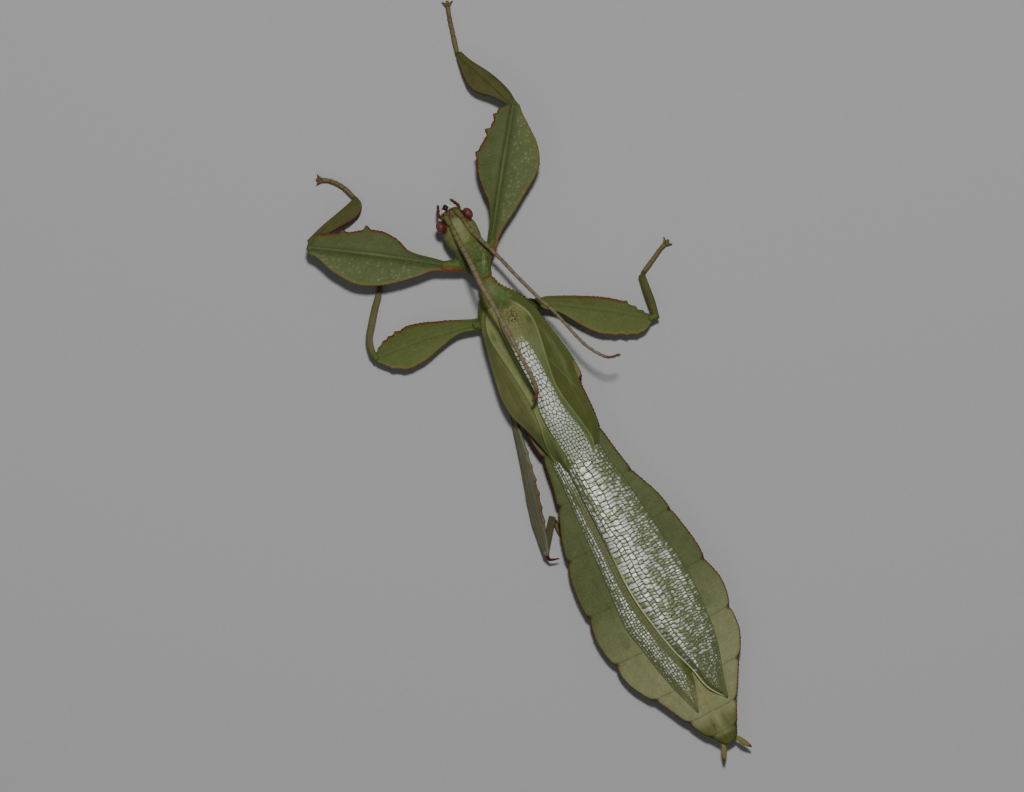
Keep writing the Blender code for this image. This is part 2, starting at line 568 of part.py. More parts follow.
def capsule(name, rows, sides=20, power=0.85, centre_x=0.0):
    """A rounded box along Y from rows of (Y, half width, underside, top)."""
    rings = []
    for y, half, low, high in rows:
        middle, tall = (low + high) / 2, (high - low) / 2
        ring = []
        for index in range(sides):
            angle = 2 * math.pi * index / sides
            across, rise = math.cos(angle), math.sin(angle)
            ring.append((centre_x + half * math.copysign(abs(across) ** power, across), y,
                         middle + tall * math.copysign(abs(rise) ** power, rise)))
        rings.append(ring)
    ends = []
    for row, other in ((rows[0], rows[1]), (rows[-1], rows[-2])):
        ends.append((centre_x, row[0] + 0.3 * (row[0] - other[0]), (row[2] + row[3]) / 2))
    return rings_to_body(name, rings, ends)


def largest_only(item):
    """Keep only the largest closed surface of a body and split its faces into triangles."""
    made = bmesh.new()
    made.from_mesh(item.data)
    groups, seen = [], set()
    for start in made.verts:
        if start in seen:
            continue
        group, queue = [], [start]
        seen.add(start)
        while queue:
            vertex = queue.pop()
            group.append(vertex)
            for edge in vertex.link_edges:
                other = edge.other_vert(vertex)
                if other not in seen:
                    seen.add(other)
                    queue.append(other)
        groups.append(group)
    groups.sort(key=len)
    spare = [vertex for group in groups[:-1] for vertex in group]
    bmesh.ops.delete(made, geom=spare, context="VERTS")
    bmesh.ops.triangulate(made, faces=made.faces)
    made.to_mesh(item.data)
    made.free()


def combine(item, others, operation):
    """Join others to a body, or cut them from it, in one Boolean, and keep one closed surface."""
    group = bpy.data.collections.new(item.name + "_tools")
    bpy.context.scene.collection.children.link(group)
    for other in others:
        bpy.context.scene.collection.objects.unlink(other)
        group.objects.link(other)
    modifier = item.modifiers.new("combine", "BOOLEAN")
    modifier.operation = operation
    modifier.operand_type = "COLLECTION"
    modifier.collection = group
    modifier.solver = "EXACT"
    graph = bpy.context.evaluated_depsgraph_get()
    result = bpy.data.meshes.new_from_object(item.evaluated_get(graph))
    item.modifiers.remove(modifier)
    item.data = result
    for other in others:
        bpy.data.objects.remove(other)
    bpy.data.collections.remove(group)
    largest_only(item)


def joint_cutter(name, start, end, radius):
    """A round tool that clears a limb's root out of the piece it grows from."""
    start, end = Vector(start), Vector(end)
    way = (end - start).normalized()
    path = [tuple(start), tuple(start + way * 1.0), tuple(start + way * 2.2)]
    return tube(name, path, [radius, radius, radius], sides=12, steps=3, extend=GAP)


def build_tarsus(name, path, radius):
    """Five foot joints, each wider at its end, with a pad and two claws, flat on the ground."""
    rings = []
    joints = [0.0, 0.38, 0.52, 0.65, 0.77, 1.0]
    marks = []
    for low, high in zip(joints, joints[1:]):
        marks.append((low, 0.72))
        marks.append((low + 0.85 * (high - low), 1.0))
    marks.append((1.0, 0.75))
    placed = frames(path, [mark for mark, _size in marks])
    for (mark, size), (centre, forward, side, up) in zip(marks, placed):
        ring = []
        for index in range(6):
            angle = 2 * math.pi * (index + 0.5) / 6
            reach = radius * size
            height = centre.z + reach * 1.15 * math.sin(angle)
            if math.sin(angle) < 0:
                height = 0.0
            spot = centre + side * reach * math.cos(angle)
            ring.append((spot.x, spot.y, height))
        rings.append(ring)
    start, finish_row = placed[0], placed[-1]
    hub = start[0] - start[1] * 0.1
    tip = finish_row[0] + finish_row[1] * 0.1
    foot = rings_to_body(name, rings, ((hub.x, hub.y, hub.z * 0.6), (tip.x, tip.y, 0.2)))
    centre, forward, side, _up = finish_row
    extras = []
    pad = [centre - forward * 0.15, centre + forward * 0.2, centre + forward * 0.5]
    extras.append(tube(name + "_pad", [(p.x, p.y, 0.2) for p in pad], [0.2, 0.28, 0.2], 6, 2, flat=0.0))
    for sign in (-1.0, 1.0):
        root = centre - forward * 0.12
        claw = [root, root + forward * 0.32 + side * sign * 0.32, root + forward * 0.62 + side * sign * 0.62,
                root + forward * 0.72 + side * sign * 0.95]
        heights = [0.42, 0.5, 0.42, 0.22]
        claw = [(p.x, p.y, h) for p, h in zip(claw, heights)]
        extras.append(tube(name + "_claw", claw, [0.14, 0.13, 0.1, 0.05], 5, 3))
    combine(foot, extras, "UNION")
    return foot


def build_leg(name, leg, body_piece):
    """Hip, femur, shin and foot of one leg, each cleared out of the piece before it."""
    left = name.endswith("left")
    lead_sign = -1.0 if left else 1.0
    front = name.startswith("front")
    wide = 0.78 if front else 0.6
    hip = tube("coxa_" + name, leg["coxa"], [wide, wide * 0.95, wide * 0.8], sides=10, steps=3)
    combine(body_piece, [joint_cutter("tool", leg["coxa"][0], leg["coxa"][-1], wide + 0.04)], "DIFFERENCE")
    rib = RIB_RADIUS if front else 0.4
    femur = blade("femur_" + name, leg["femur"], leg["leading"], leg["trailing"], leg["leading_teeth"],
                  leg["trailing_teeth"], leg["tilt"], rib, lead_sign, 14)
    if "spine" in leg:
        spine = tube("spine", leg["spine"], [0.3, 0.26, 0.24, 0.16], sides=6, steps=4)
        combine(femur, [spine], "UNION")
    combine(hip, [joint_cutter("tool", leg["femur"][0], leg["femur"][1], rib + 0.08)], "DIFFERENCE")
    shin = blade("tibia_" + name, leg["tibia"], leg["tibia_leading"], leg["tibia_trailing"], [], [],
                 0.0, 0.34, 1.0, 8 if front else 5)
    combine(femur, [joint_cutter("tool", leg["tibia"][0], leg["tibia"][1], 0.44)], "DIFFERENCE")
    build_tarsus("tarsus_" + name, leg["tarsus"], 0.34)
    combine(shin, [joint_cutter("tool", leg["tarsus"][0], leg["tarsus"][1], 0.32)], "DIFFERENCE")


def main():
    for item in list(bpy.data.objects):
        bpy.data.objects.remove(item)
    capsule("head", HEAD)
    head = bpy.data.objects["head"]
    tools = []
    for name, centre in EYES.items():
        ball(name, centre, EYE_RADII)
        grown = [radius + GAP for radius in EYE_RADII]
        tools.append(ball("tool", centre, grown))
    for name, path in PALPS.items():
        tube(name, path, PALP_RADII, sides=8, steps=6)
        tools.append(joint_cutter("tool", path[0], path[1], 0.22))
    for name, path in (("antenna_left", ANTENNA_LEFT), ("antenna_right", ANTENNA_RIGHT)):
        tube(name, path, ANTENNA_RADII, sides=8, steps=30)
        tools.append(joint_cutter("tool", path[0], path[1], 0.35))
    combine(head, tools, "DIFFERENCE")
    capsule("mouthparts", MOUTH, centre_x=MOUTH_X)

    body = [-1.0, -0.9, -0.6, -0.3, 0.0, 0.3, 0.6, 0.9, 1.0]
    thorax = [-1.0, -0.93, -0.78, -0.5, 0.0, 0.5, 0.78, 0.93, 1.0]
    pronotum = slab("pronotum", PRONOTUM, thorax, 0.75, steps=6)
    mesothorax = slab("mesothorax", MESOTHORAX, thorax, 0.6, steps=7)
    metathorax = slab("metathorax", METATHORAX, thorax, 0.35, steps=8)
    for name, rows in ABDOMEN.items():
        slab(name, rows, body, 0.0, keel=0.08 if rows[0][0] > 54 else 0.0, steps=max(len(rows) + 1, 4))
    wing("hindwing_left", HINDWING_LEFT_INNER, HINDWING_LEFT_OUTER, HINDWING_VEINS, hindwing_left_low, 20)
    wing("hindwing_right", HINDWING_RIGHT_INNER, HINDWING_RIGHT_OUTER, HINDWING_VEINS,
         hindwing_right_low, 20)
    wing("tegmen_left", TEGMEN_LEFT_INNER, TEGMEN_LEFT_OUTER, TEGMEN_VEINS, tegmen_left_low, 16)
    wing("tegmen_right", TEGMEN_RIGHT_INNER, TEGMEN_RIGHT_OUTER, TEGMEN_VEINS, tegmen_right_low, 16)
    for name, path in CERCI.items():
        tube(name, path, CERCUS_RADII, sides=8, steps=5)
    tail = bpy.data.objects["abdomen_10"]
    tools = [joint_cutter("tool", path[0], path[1], 0.3) for path in CERCI.values()]
    combine(tail, tools, "DIFFERENCE")
    pieces = {"front": pronotum, "middle": mesothorax, "hind": metathorax}
    for name, leg in LEGS.items():
        build_leg(name, leg, pieces[name.split("_")[0]])
    for item in bpy.data.objects:
        paint(item)


main()
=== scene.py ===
"""Looks of the life-size male leaf insect: skin, wings, legs, head, feelers and the studio."""
import math

import bmesh
import bpy
import numpy as np
from mathutils import Matrix, Vector


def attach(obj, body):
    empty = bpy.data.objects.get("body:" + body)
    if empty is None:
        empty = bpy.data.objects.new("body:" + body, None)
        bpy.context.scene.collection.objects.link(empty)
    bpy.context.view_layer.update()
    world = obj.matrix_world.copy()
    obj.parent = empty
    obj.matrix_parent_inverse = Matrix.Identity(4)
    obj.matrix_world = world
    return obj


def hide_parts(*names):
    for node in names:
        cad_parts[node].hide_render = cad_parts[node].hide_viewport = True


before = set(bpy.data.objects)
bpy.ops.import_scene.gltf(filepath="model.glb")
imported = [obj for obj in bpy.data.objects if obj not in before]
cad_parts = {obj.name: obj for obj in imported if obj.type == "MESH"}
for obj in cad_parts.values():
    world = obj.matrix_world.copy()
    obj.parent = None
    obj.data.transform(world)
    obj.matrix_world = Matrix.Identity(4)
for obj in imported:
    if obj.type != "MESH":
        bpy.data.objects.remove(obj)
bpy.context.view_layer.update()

bl_info = {
    "name": "Leaf Insect Looks",
    "version": (1, 0, 0),
    "blender": (4, 5, 0),
    "location": "View3D > Sidebar > Leaf Insect",
    "description": "Dresses the leaf insect frame with skin, netted wings, toothed legs and feelers",
    "category": "Object",
}

# Plan sizes are millimetres from the midpoint between the eyes, X to the insect's left,
# Y from head to tail and Z up from the ground, as in the part's source.
MM = 0.001
ORIGIN_X = -2.35
ORIGIN_Y = 23.45
GAP = 0.3

# Heights of the back and the underside along the middle of the body, (Y, Z), and how much they
# fall and rise towards the sides.
BODY_TOP = [(3.0, 4.0), (6.0, 3.75), (8.0, 3.55), (11.0, 3.6), (14.0, 3.3), (18.0, 3.15),
            (23.5, 3.05), (48.0, 3.0), (60.0, 2.9), (66.0, 2.8), (68.6, 2.5)]
BODY_BOTTOM = [(3.0, 1.6), (8.0, 1.8), (12.0, 1.5), (18.0, 1.5), (24.0, 1.7), (40.0, 1.75),
               (60.0, 1.75), (68.6, 1.7)]
TOP_FALL = 0.008
BOTTOM_RISE = 0.0035
# The head along it: (Y, half width, lowest, highest).
HEAD = [(-1.4, 0.7, 2.5, 3.3), (-1.2, 1.0, 2.2, 3.75), (-0.9, 1.25, 1.95, 4.1),
        (-0.3, 1.45, 1.8, 4.3), (0.5, 1.75, 1.7, 4.4), (1.3, 2.05, 1.65, 4.45),
        (2.2, 2.05, 1.6, 4.4), (3.0, 1.95, 1.6, 4.25), (3.45, 1.75, 1.75, 4.0)]

# Half widths of the trunk behind the head: (Y, left, right).
TRUNK = [(3.6, 1.8, 1.8), (4.0, 1.9, 1.9), (4.5, 2.0, 2.0), (5.4, 1.9, 1.9), (6.3, 1.5, 1.5),
         (7.1, 1.2, 1.15), (7.7, 1.02, 0.98), (8.2, 1.05, 1.0), (9.0, 1.35, 1.2), (10.0, 2.0, 1.95),
         (11.0, 2.7, 2.7), (12.0, 3.0, 3.2), (13.5, 3.38, 3.65), (15.0, 3.75, 3.9),
         (17.0, 4.15, 4.15), (19.0, 4.5, 4.6), (21.0, 4.9, 4.8), (22.5, 4.9, 4.8),
         (23.2, 4.55, 4.5), (23.6, 4.3, 4.22), (25.5, 4.2, 4.15), (27.5, 4.1, 4.0),
         (28.9, 3.9, 3.8), (29.2, 3.75, 3.65), (29.5, 3.9, 3.8), (31.0, 4.15, 4.0),
         (33.0, 4.5, 4.3), (34.8, 4.95, 4.65), (35.15, 4.85, 4.65), (35.5, 5.1, 4.8),
         (37.0, 5.75, 5.4), (39.0, 6.5, 6.15), (41.0, 6.95, 6.55), (41.4, 6.9, 6.5),
         (41.8, 7.15, 6.68), (43.5, 7.65, 7.0), (46.0, 7.95, 7.4), (47.9, 7.92, 7.42),
         (48.3, 7.75, 7.3), (48.7, 7.9, 7.45), (49.5, 8.1, 7.7), (51.0, 8.3, 8.0),
         (53.0, 8.1, 7.85), (54.2, 7.75, 7.45), (54.6, 7.5, 7.25), (55.0, 7.6, 7.38),
         (56.0, 7.6, 7.35), (57.5, 7.2, 7.1), (59.0, 6.4, 6.4), (59.9, 5.8, 5.85),
         (60.2, 5.4, 5.45), (60.6, 5.2, 5.3), (62.0, 4.5, 4.5), (63.9, 3.55, 3.35),
         (64.3, 3.22, 3.02), (64.7, 3.1, 2.85), (65.6, 2.7, 2.4), (66.6, 2.12, 1.92),
         (66.9, 1.78, 1.68), (67.3, 1.5, 1.52), (67.8, 1.2, 1.3), (68.3, 0.85, 0.95),
         (68.5, 0.6, 0.7)]
# How square a cross-section of the body is along it: (Y, power).
SQUARENESS = [(-1.45, 2.0), (1.5, 2.2), (3.6, 2.6), (6.0, 3.0), (8.0, 2.6), (12.0, 3.6),
              (18.0, 6.0), (23.0, 10.0), (26.0, 22.0), (60.0, 26.0), (66.0, 14.0), (68.5, 5.0)]
# Where one segment of the abdomen ends and the next begins: Y.
SEGMENT_ENDS = [23.5, 29.2, 35.2, 41.4, 48.3, 54.6, 60.2, 64.3, 66.9]


# How a surface looks in the picture out of 255, the light it sends to the camera for that, and
# how much light a white surface sends in this studio.
SEEN = [0, 8, 19, 32, 50, 76, 96, 118, 135, 153, 169, 184, 196, 209, 217]
LIGHT = [0.0, 0.005, 0.01, 0.02, 0.04, 0.08, 0.12, 0.18, 0.25, 0.35, 0.5, 0.7, 1.0, 1.5, 2.0]
STUDIO_LEVEL = 0.67
# Light that a surface's dull sheen adds to its own colour.
SHEEN = 0.014


def tone(red, green, blue):
    """The surface colour that looks like the given one out of 255 under the studio's light."""
    sent = np.interp([red, green, blue], SEEN, LIGHT)
    return tuple(float(value) for value in np.clip((sent - SHEEN) / STUDIO_LEVEL, 0.003, 0.9))


def colour(name, description, red, green, blue):
    """A colour property with its default given out of 255."""
    return bpy.props.FloatVectorProperty(name=name, description=description, subtype="COLOR", size=3,
                                         min=0.0, max=1.0, default=tone(red, green, blue))


def length(name, description, default, low=0.0, high=1.0):
    """A length property in metres."""
    return bpy.props.FloatProperty(name=name, description=description, default=default, min=low,
                                   max=high, unit="LENGTH", subtype="DISTANCE", precision=5)


def share(name, description, default, low=0.0, high=1.0):
    """A plain factor property."""
    return bpy.props.FloatProperty(name=name, description=description, default=default, min=low,
                                   max=high, subtype="FACTOR")


def whole(name, description, default, low, high):
    """A property for a whole number of things."""
    return bpy.props.IntProperty(name=name, description=description, default=default, min=low, max=high)


def watts(name, description, default):
    """A property for the power of a lamp."""
    return bpy.props.FloatProperty(name=name, description=description, default=default, min=0.0,
                                   unit="POWER")


def read(rows, where, column=1):
    """Read a table of named sizes along a smooth curve through its rows."""
    rows = np.array(rows, float)
    xs, ys = rows[:, 0], rows[:, column]
    where = np.clip(np.asarray(where, float), xs[0], xs[-1])
    low = np.clip(np.searchsorted(xs, where, side="right") - 1, 0, len(xs) - 2)
    high = low + 1
    before = np.maximum(low - 1, 0)
    after = np.minimum(low + 2, len(xs) - 1)
    run = xs[high] - xs[low]
    rise_low = (ys[high] - ys[before]) / (xs[high] - xs[before]) * run
    rise_high = (ys[after] - ys[low]) / (xs[after] - xs[low]) * run
    t = (where - xs[low]) / run
    return (ys[low] * (2 * t**3 - 3 * t**2 + 1) + rise_low * (t**3 - 2 * t**2 + t)
            + ys[high] * (3 * t**2 - 2 * t**3) + rise_high * (t**3 - t**2))


def step(value):
    """Zero to one along a smooth step."""
    value = np.clip(value, 0.0, 1.0)
    return value * value * (3.0 - 2.0 * value)


def hump(value, width):
    """One at zero, falling away on both sides over the width."""
    return np.exp(-(value / width) ** 2)


def mix(first, second, amount):
    """Blend rows of colour by an amount for each row."""
    first, second = np.asarray(first, float), np.asarray(second, float)
    amount = np.clip(np.asarray(amount, float), 0.0, 1.0)[..., None]
    return first * (1.0 - amount) + second * amount


def over(tint, *layers):
    """Lay colours over a tint one after another, each by its own amount."""
    for shade, amount in layers:
        tint = mix(tint, shade, amount)
    return tint


def scatter(*values):
    """A repeatable number from zero to one for each set of whole numbers."""
    total = np.zeros(np.broadcast(*[np.asarray(v) for v in values]).shape)
    for index, value in enumerate(values):
        total = total + np.asarray(value, float) * (12.9898 + 65.317 * index)
    return np.abs(np.modf(np.sin(total) * 43758.5453)[0])


def ripple(x, y, size, seed=0.0):
    """A soft unevenness from minus one to one with spots of about the given size."""
    k = 2.0 * math.pi / size
    total = np.sin(k * (0.83 * x + 0.31 * y) + seed) + np.sin(k * (-0.47 * x + 0.92 * y) + 2.1 * seed)
    total = total + np.sin(k * (1.31 * x - 0.77 * y) + 1.3 + seed)
    total = total + np.sin(k * 0.57 * y + 0.4 * np.sin(k * x) + 3.7 * seed)
    return total / 4.0


def body_top(x, y):
    """Height of the upper side of thorax and abdomen."""
    return read(BODY_TOP, y) - TOP_FALL * x * x


def body_bottom(x, y):
    """Height of the underside of thorax and abdomen."""
    return read(BODY_BOTTOM, y) + BOTTOM_RISE * x * x


def body_half(x, y):
    """Half width of the body at Y on the side that X is on."""
    head = [row[:2] for row in HEAD]
    left = read(head + [row[:2] for row in TRUNK], y)
    right = read(head + [row[::2] for row in TRUNK], y)
    return np.where(x > 0, left, right)


def to_frame(points):
    """Plan millimetres to metres in the part's frame."""
    points = np.asarray(points, float).reshape(-1, 3)
    return (points - np.array([ORIGIN_X, ORIGIN_Y, 0.0])) * MM


def to_plan(points):
    """Metres in the part's frame to plan millimetres."""
    return points / MM + np.array([ORIGIN_X, ORIGIN_Y, 0.0])


def place_object(name, data):
    """A new object in the scene."""
    item = bpy.data.objects.new(name, data)
    bpy.context.scene.collection.objects.link(item)
    return item


def object_from(name, points, faces, paint=None, gloss=None):
    """A smooth-shaded mesh object from plan points, with its colours and gloss on its points."""
    mesh = bpy.data.meshes.new(name)
    mesh.from_pydata(to_frame(points).tolist(), [], [tuple(face) for face in faces])
    mesh.validate()
    item = place_object(name, mesh)
    mesh.shade_smooth()
    set_paint(item, paint, gloss)
    return item


def set_paint(item, paint, gloss):
    """Store the colour and gloss of each point of a mesh for its material."""
    mesh = item.data
    if paint is not None:
        layer = mesh.color_attributes.get("Paint")
        layer = layer or mesh.color_attributes.new(name="Paint", type="FLOAT_COLOR", domain="POINT")
        values = np.ones((len(mesh.vertices), 4), np.float32)
        values[:, :3] = np.clip(np.asarray(paint, float).reshape(-1, 3), 0.0, 1.0)
        layer.data.foreach_set("color", values.ravel())
    if gloss is not None:
        layer = mesh.attributes.get("Gloss") or mesh.attributes.new("Gloss", "FLOAT", "POINT")
        layer.data.foreach_set("value", np.asarray(gloss, np.float32).ravel())


def ring_faces(rows, sides):
    """Faces of a tube of rings, and of the fans that close it on its last two points."""
    index = np.arange(rows * sides).reshape(rows, sides)
    turned = np.roll(index, -1, axis=1)
    quads = np.stack([index[:-1], turned[:-1], turned[1:], index[1:]], -1).reshape(-1, 4)
    faces = quads.tolist()
    start, end = rows * sides, rows * sides + 1
    for side in range(sides):
        after = (side + 1) % sides
        faces.append((int(index[0, after]), int(index[0, side]), start))
        faces.append((int(index[-1, side]), int(index[-1, after]), end))
    return faces


def ring_object(name, rings, hubs, paint=None, gloss=None):
    """A closed tube from an array of rings and its two end points."""
    rows, sides = rings.shape[:2]
    points = np.concatenate([rings.reshape(-1, 3), np.asarray(hubs, float).reshape(2, 3)])
    if paint is not None:
        flat = np.asarray(paint, float).reshape(-1, 3)
        paint = np.concatenate([flat, flat[:1], flat[-1:]])
    if gloss is not None:
        flat = np.asarray(gloss, float).ravel()
        gloss = np.concatenate([flat, flat[:1], flat[-1:]])
    item = object_from(name, points, ring_faces(rows, sides), paint, gloss)
    turn_out(item)
    return item


def turn_out(item):
    """Point the faces of a closed mesh outwards."""
    made = bmesh.new()
    made.from_mesh(item.data)
    bmesh.ops.recalc_face_normals(made, faces=made.faces)
    made.to_mesh(item.data)
    made.free()


def sheet_object(name, top, bottom, paint, gloss):
    """A closed thin plate from the grids of its two faces."""
    rows, columns = top.shape[:2]
    index = np.arange(rows * columns).reshape(rows, columns)
    under = rows * columns
    quads = np.stack([index[:-1, :-1], index[:-1, 1:], index[1:, 1:], index[1:, :-1]], -1).reshape(-1, 4)
    faces = quads.tolist() + (quads[:, ::-1] + under).tolist()
    border = np.concatenate([index[0], index[1:, -1], index[-1, -2::-1], index[-2:0:-1, 0]])
    after = np.roll(border, -1)
    faces += np.stack([border, border + under, after + under, after], -1).tolist()
    points, colours = (np.concatenate([a.reshape(-1, 3), b.reshape(-1, 3)])
                       for a, b in ((top, bottom), (paint, paint)))
    item = object_from(name, points, faces, colours, np.tile(np.ravel(gloss), 2))
    turn_out(item)
    return item


def join(items, name):
    """Join mesh objects into the first and name it."""
    bpy.ops.object.select_all(action="DESELECT")
    for item in items:
        item.select_set(True)
    bpy.context.view_layer.objects.active = items[0]
    if len(items) > 1:
        bpy.ops.object.join()
    items[0].name = name
    items[0].data.name = name
    return items[0]


def curve(path, shares):
    """Points along a smooth curve through a path, by share of its length."""
    path = np.array(path, float)
    runs = np.linalg.norm(np.diff(path, axis=0), axis=1)
    lengths = np.concatenate([[0.0], np.cumsum(runs)])
    where = np.asarray(shares, float) * lengths[-1]
    return np.stack([read(np.column_stack([lengths, path[:, axis]]), where) for axis in range(3)], -1)


def path_length(path):
    """Length of a path in millimetres."""
    path = np.array(path, float)
    return float(np.linalg.norm(np.diff(path, axis=0), axis=1).sum())


def frames(path, shares):
    """Points, forward, side and up directions at shares of a path."""
    shares = np.asarray(shares, float)
    ahead = curve(path, np.minimum(shares + 0.02, 1.0))
    behind = curve(path, np.maximum(shares - 0.02, 0.0))
    forward = ahead - behind
    forward /= np.linalg.norm(forward, axis=1)[:, None]
    side = np.stack([-forward[:, 1], forward[:, 0], np.zeros(len(shares))], -1)
    side /= np.linalg.norm(side, axis=1)[:, None]
    up = np.cross(forward, side)
    up *= np.where(up[:, 2] < 0, -1.0, 1.0)[:, None]
    return curve(path, shares), forward, side, up


def fill_sockets(tree, shader, values):
    """Give a node's inputs their values, each another node's output, a number or a colour."""
    for key, value in values.items():
        if isinstance(value, bpy.types.NodeSocket):
            tree.links.new(value, shader.inputs[key])
        elif isinstance(value, (float, int)):
            shader.inputs[key].default_value = value
        else:
            shader.inputs[key].default_value = (*value, 1.0)


def node(tree, kind, values, output, **settings):
    """Add a shader node with its settings and inputs, and return one of its outputs."""
    made = tree.nodes.new("ShaderNode" + kind)
    for key, value in settings.items():
        setattr(made, key, value)
    fill_sockets(tree, made, values)
    return made.outputs[output]


def scaled(tree, vector, amount):
    """A colour or place times an amount."""
    return node(tree, "VectorMath", {0: vector, "Scale": amount}, "Vector", operation="SCALE")


def point_value(tree, name, output):
    """The colour or number stored on the mesh's points under a name."""
    return node(tree, "Attribute", {}, output, attribute_name=name)


def material(name):
    """A node material with its tree, its shader and the place on the piece in millimetres."""
    made = bpy.data.materials.new(name)
    made.use_nodes = True
    tree = made.node_tree
    place = scaled(tree, node(tree, "TexCoord", {}, "Object"), 1000.0)
    return made, tree, tree.nodes["Principled BSDF"], place


def noise_node(tree, place, scale, detail=3.0):
    """Cloudy unevenness with spots of one over the scale in millimetres."""
    values = {"Scale": scale, "Detail": detail, "Roughness": 0.6, "Vector": place}
    return node(tree, "TexNoise", values, "Fac")


def ramp_node(tree, value, low, high, low_out=0.0, high_out=1.0):
    """Map a value from one range to another, held at the ends."""
    values = {"Value": value, "From Min": low, "From Max": high, "To Min": low_out, "To Max": high_out}
    return node(tree, "MapRange", values, "Result")


def blend_node(tree, amount, first, second):
    """Mix two colours by an amount."""
    values = {0: amount, 6: first, 7: second}
    return node(tree, "Mix", values, 2, data_type="RGBA", clamp_result=True)


def bump_node(tree, height, strength, distance, **normal):
    """Fine relief from a height value, over another relief's Normal if one is given; the distance
    is in millimetres."""
    values = {"Strength": strength, "Distance": distance * MM, "Height": height, **normal}
    return node(tree, "Bump", values, "Normal")


def cuticle(name, pore_light, pore_scale, pore_amount, mottle, roughness, relief):
    """Skin of the animal: its painted colour, clouded, with fine pale pores and a grain."""
    made, tree, shader, place = material(name)
    fine = noise_node(tree, place, 7.0)
    clouds = ramp_node(tree, noise_node(tree, place, 0.9, 4.0), 0.3, 0.7, 1.0 - mottle, 1.0 + mottle)
    skin = scaled(tree, point_value(tree, "Paint", "Color"), clouds)
    skin = scaled(tree, skin, ramp_node(tree, fine, 0.35, 0.65, 0.88, 1.12))
    dots = node(tree, "TexVoronoi", {"Scale": pore_scale, "Vector": place}, "Distance")
    pores = ramp_node(tree, dots, 0.12, 0.3, 1.0, 0.0)
    rare = ramp_node(tree, noise_node(tree, place, 1.6, 2.0), 0.45, 0.6, 0.0, pore_amount)
    seen = node(tree, "Math", {0: pores, 1: rare}, 0, operation="MULTIPLY")
    rough = {0: point_value(tree, "Gloss", "Fac"), 1: -0.35, 2: roughness}
    rough = {0: fine, 1: 0.18, 2: node(tree, "Math", rough, 0, operation="MULTIPLY_ADD")}
    grain = bump_node(tree, fine, relief, 0.06)
    fill_sockets(tree, shader, {
        "Base Color": blend_node(tree, seen, skin, pore_light),
        "Roughness": node(tree, "Math", rough, 0, operation="MULTIPLY_ADD"),
        "Normal": bump_node(tree, pores, relief * 0.8, 0.03, Normal=grain), "Specular IOR Level": 0.25})
    return made


def membrane(name, roughness, coat, relief):
    """Glossy wing skin: its painted net, slightly wrinkled."""
    made, tree, shader, place = material(name)
    fine = noise_node(tree, place, 5.0)
    gloss = point_value(tree, "Gloss", "Fac")
    grain = ramp_node(tree, fine, 0.3, 0.7, 0.88, 1.1)
    fill_sockets(tree, shader, {
        "Base Color": scaled(tree, point_value(tree, "Paint", "Color"), grain),
        "Roughness": ramp_node(tree, gloss, 0.0, 1.0, roughness + 0.3, roughness),
        "Normal": bump_node(tree, fine, relief, 0.05), "Specular IOR Level": 0.3,
        "Coat Weight": coat, "Coat Roughness": 0.3})
    return made


def glossy_paint(name, roughness, coat, grain_scale, relief):
    """A hard glossy surface in its painted colours, with a fine grain."""
    made, tree, shader, place = material(name)
    fine = noise_node(tree, place, grain_scale, 2.0)
    grain = ramp_node(tree, fine, 0.3, 0.7, 0.85, 1.12)
    fill_sockets(tree, shader, {
        "Base Color": scaled(tree, point_value(tree, "Paint", "Color"), grain),
        "Roughness": ramp_node(tree, fine, 0.2, 0.8, roughness * 0.8, roughness * 1.25),
        "Normal": bump_node(tree, fine, relief, 0.03), "Coat Weight": coat, "Coat Roughness": 0.08})
    return made


def keep_material(item, made):
    """Give a piece its one material."""
    item.data.materials.clear()
    item.data.materials.append(made)


def dress(item, made, slot_name, *nodes):
    """Finish a piece: its material, the nodes it stands for, and its ride; the slot name is not used."""
    keep_material(item, made)
    if nodes:
        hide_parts(*nodes)
    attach(item, "root")
    return item


class LEAF_PG_skin(bpy.types.PropertyGroup):
    """Sizes and colours of the head, thorax and abdomen."""
    head: colour("Head", "Upper side of the head", 104, 108, 62)
    thorax: colour("Thorax", "Upper side of the thorax", 74, 87, 42)
    abdomen: colour("Abdomen", "Front half of the abdomen", 81, 88, 53)
    tail: colour("Tail", "Last segments of the abdomen", 122, 124, 88)
    belly: colour("Belly", "Underside", 108, 112, 76)
    margin: colour("Margin", "Thin edge line", 84, 36, 26)
    orange: colour("Orange Edge", "Edges near the hips", 126, 72, 44)
    voxel: length("Skin Grain", "Size of the skin's faces", 0.00011, 0.00005, 0.001)


def head_mask(y):
    """One on the head, falling to zero behind it."""
    return 1.0 - step((y - 3.35) / 0.5)


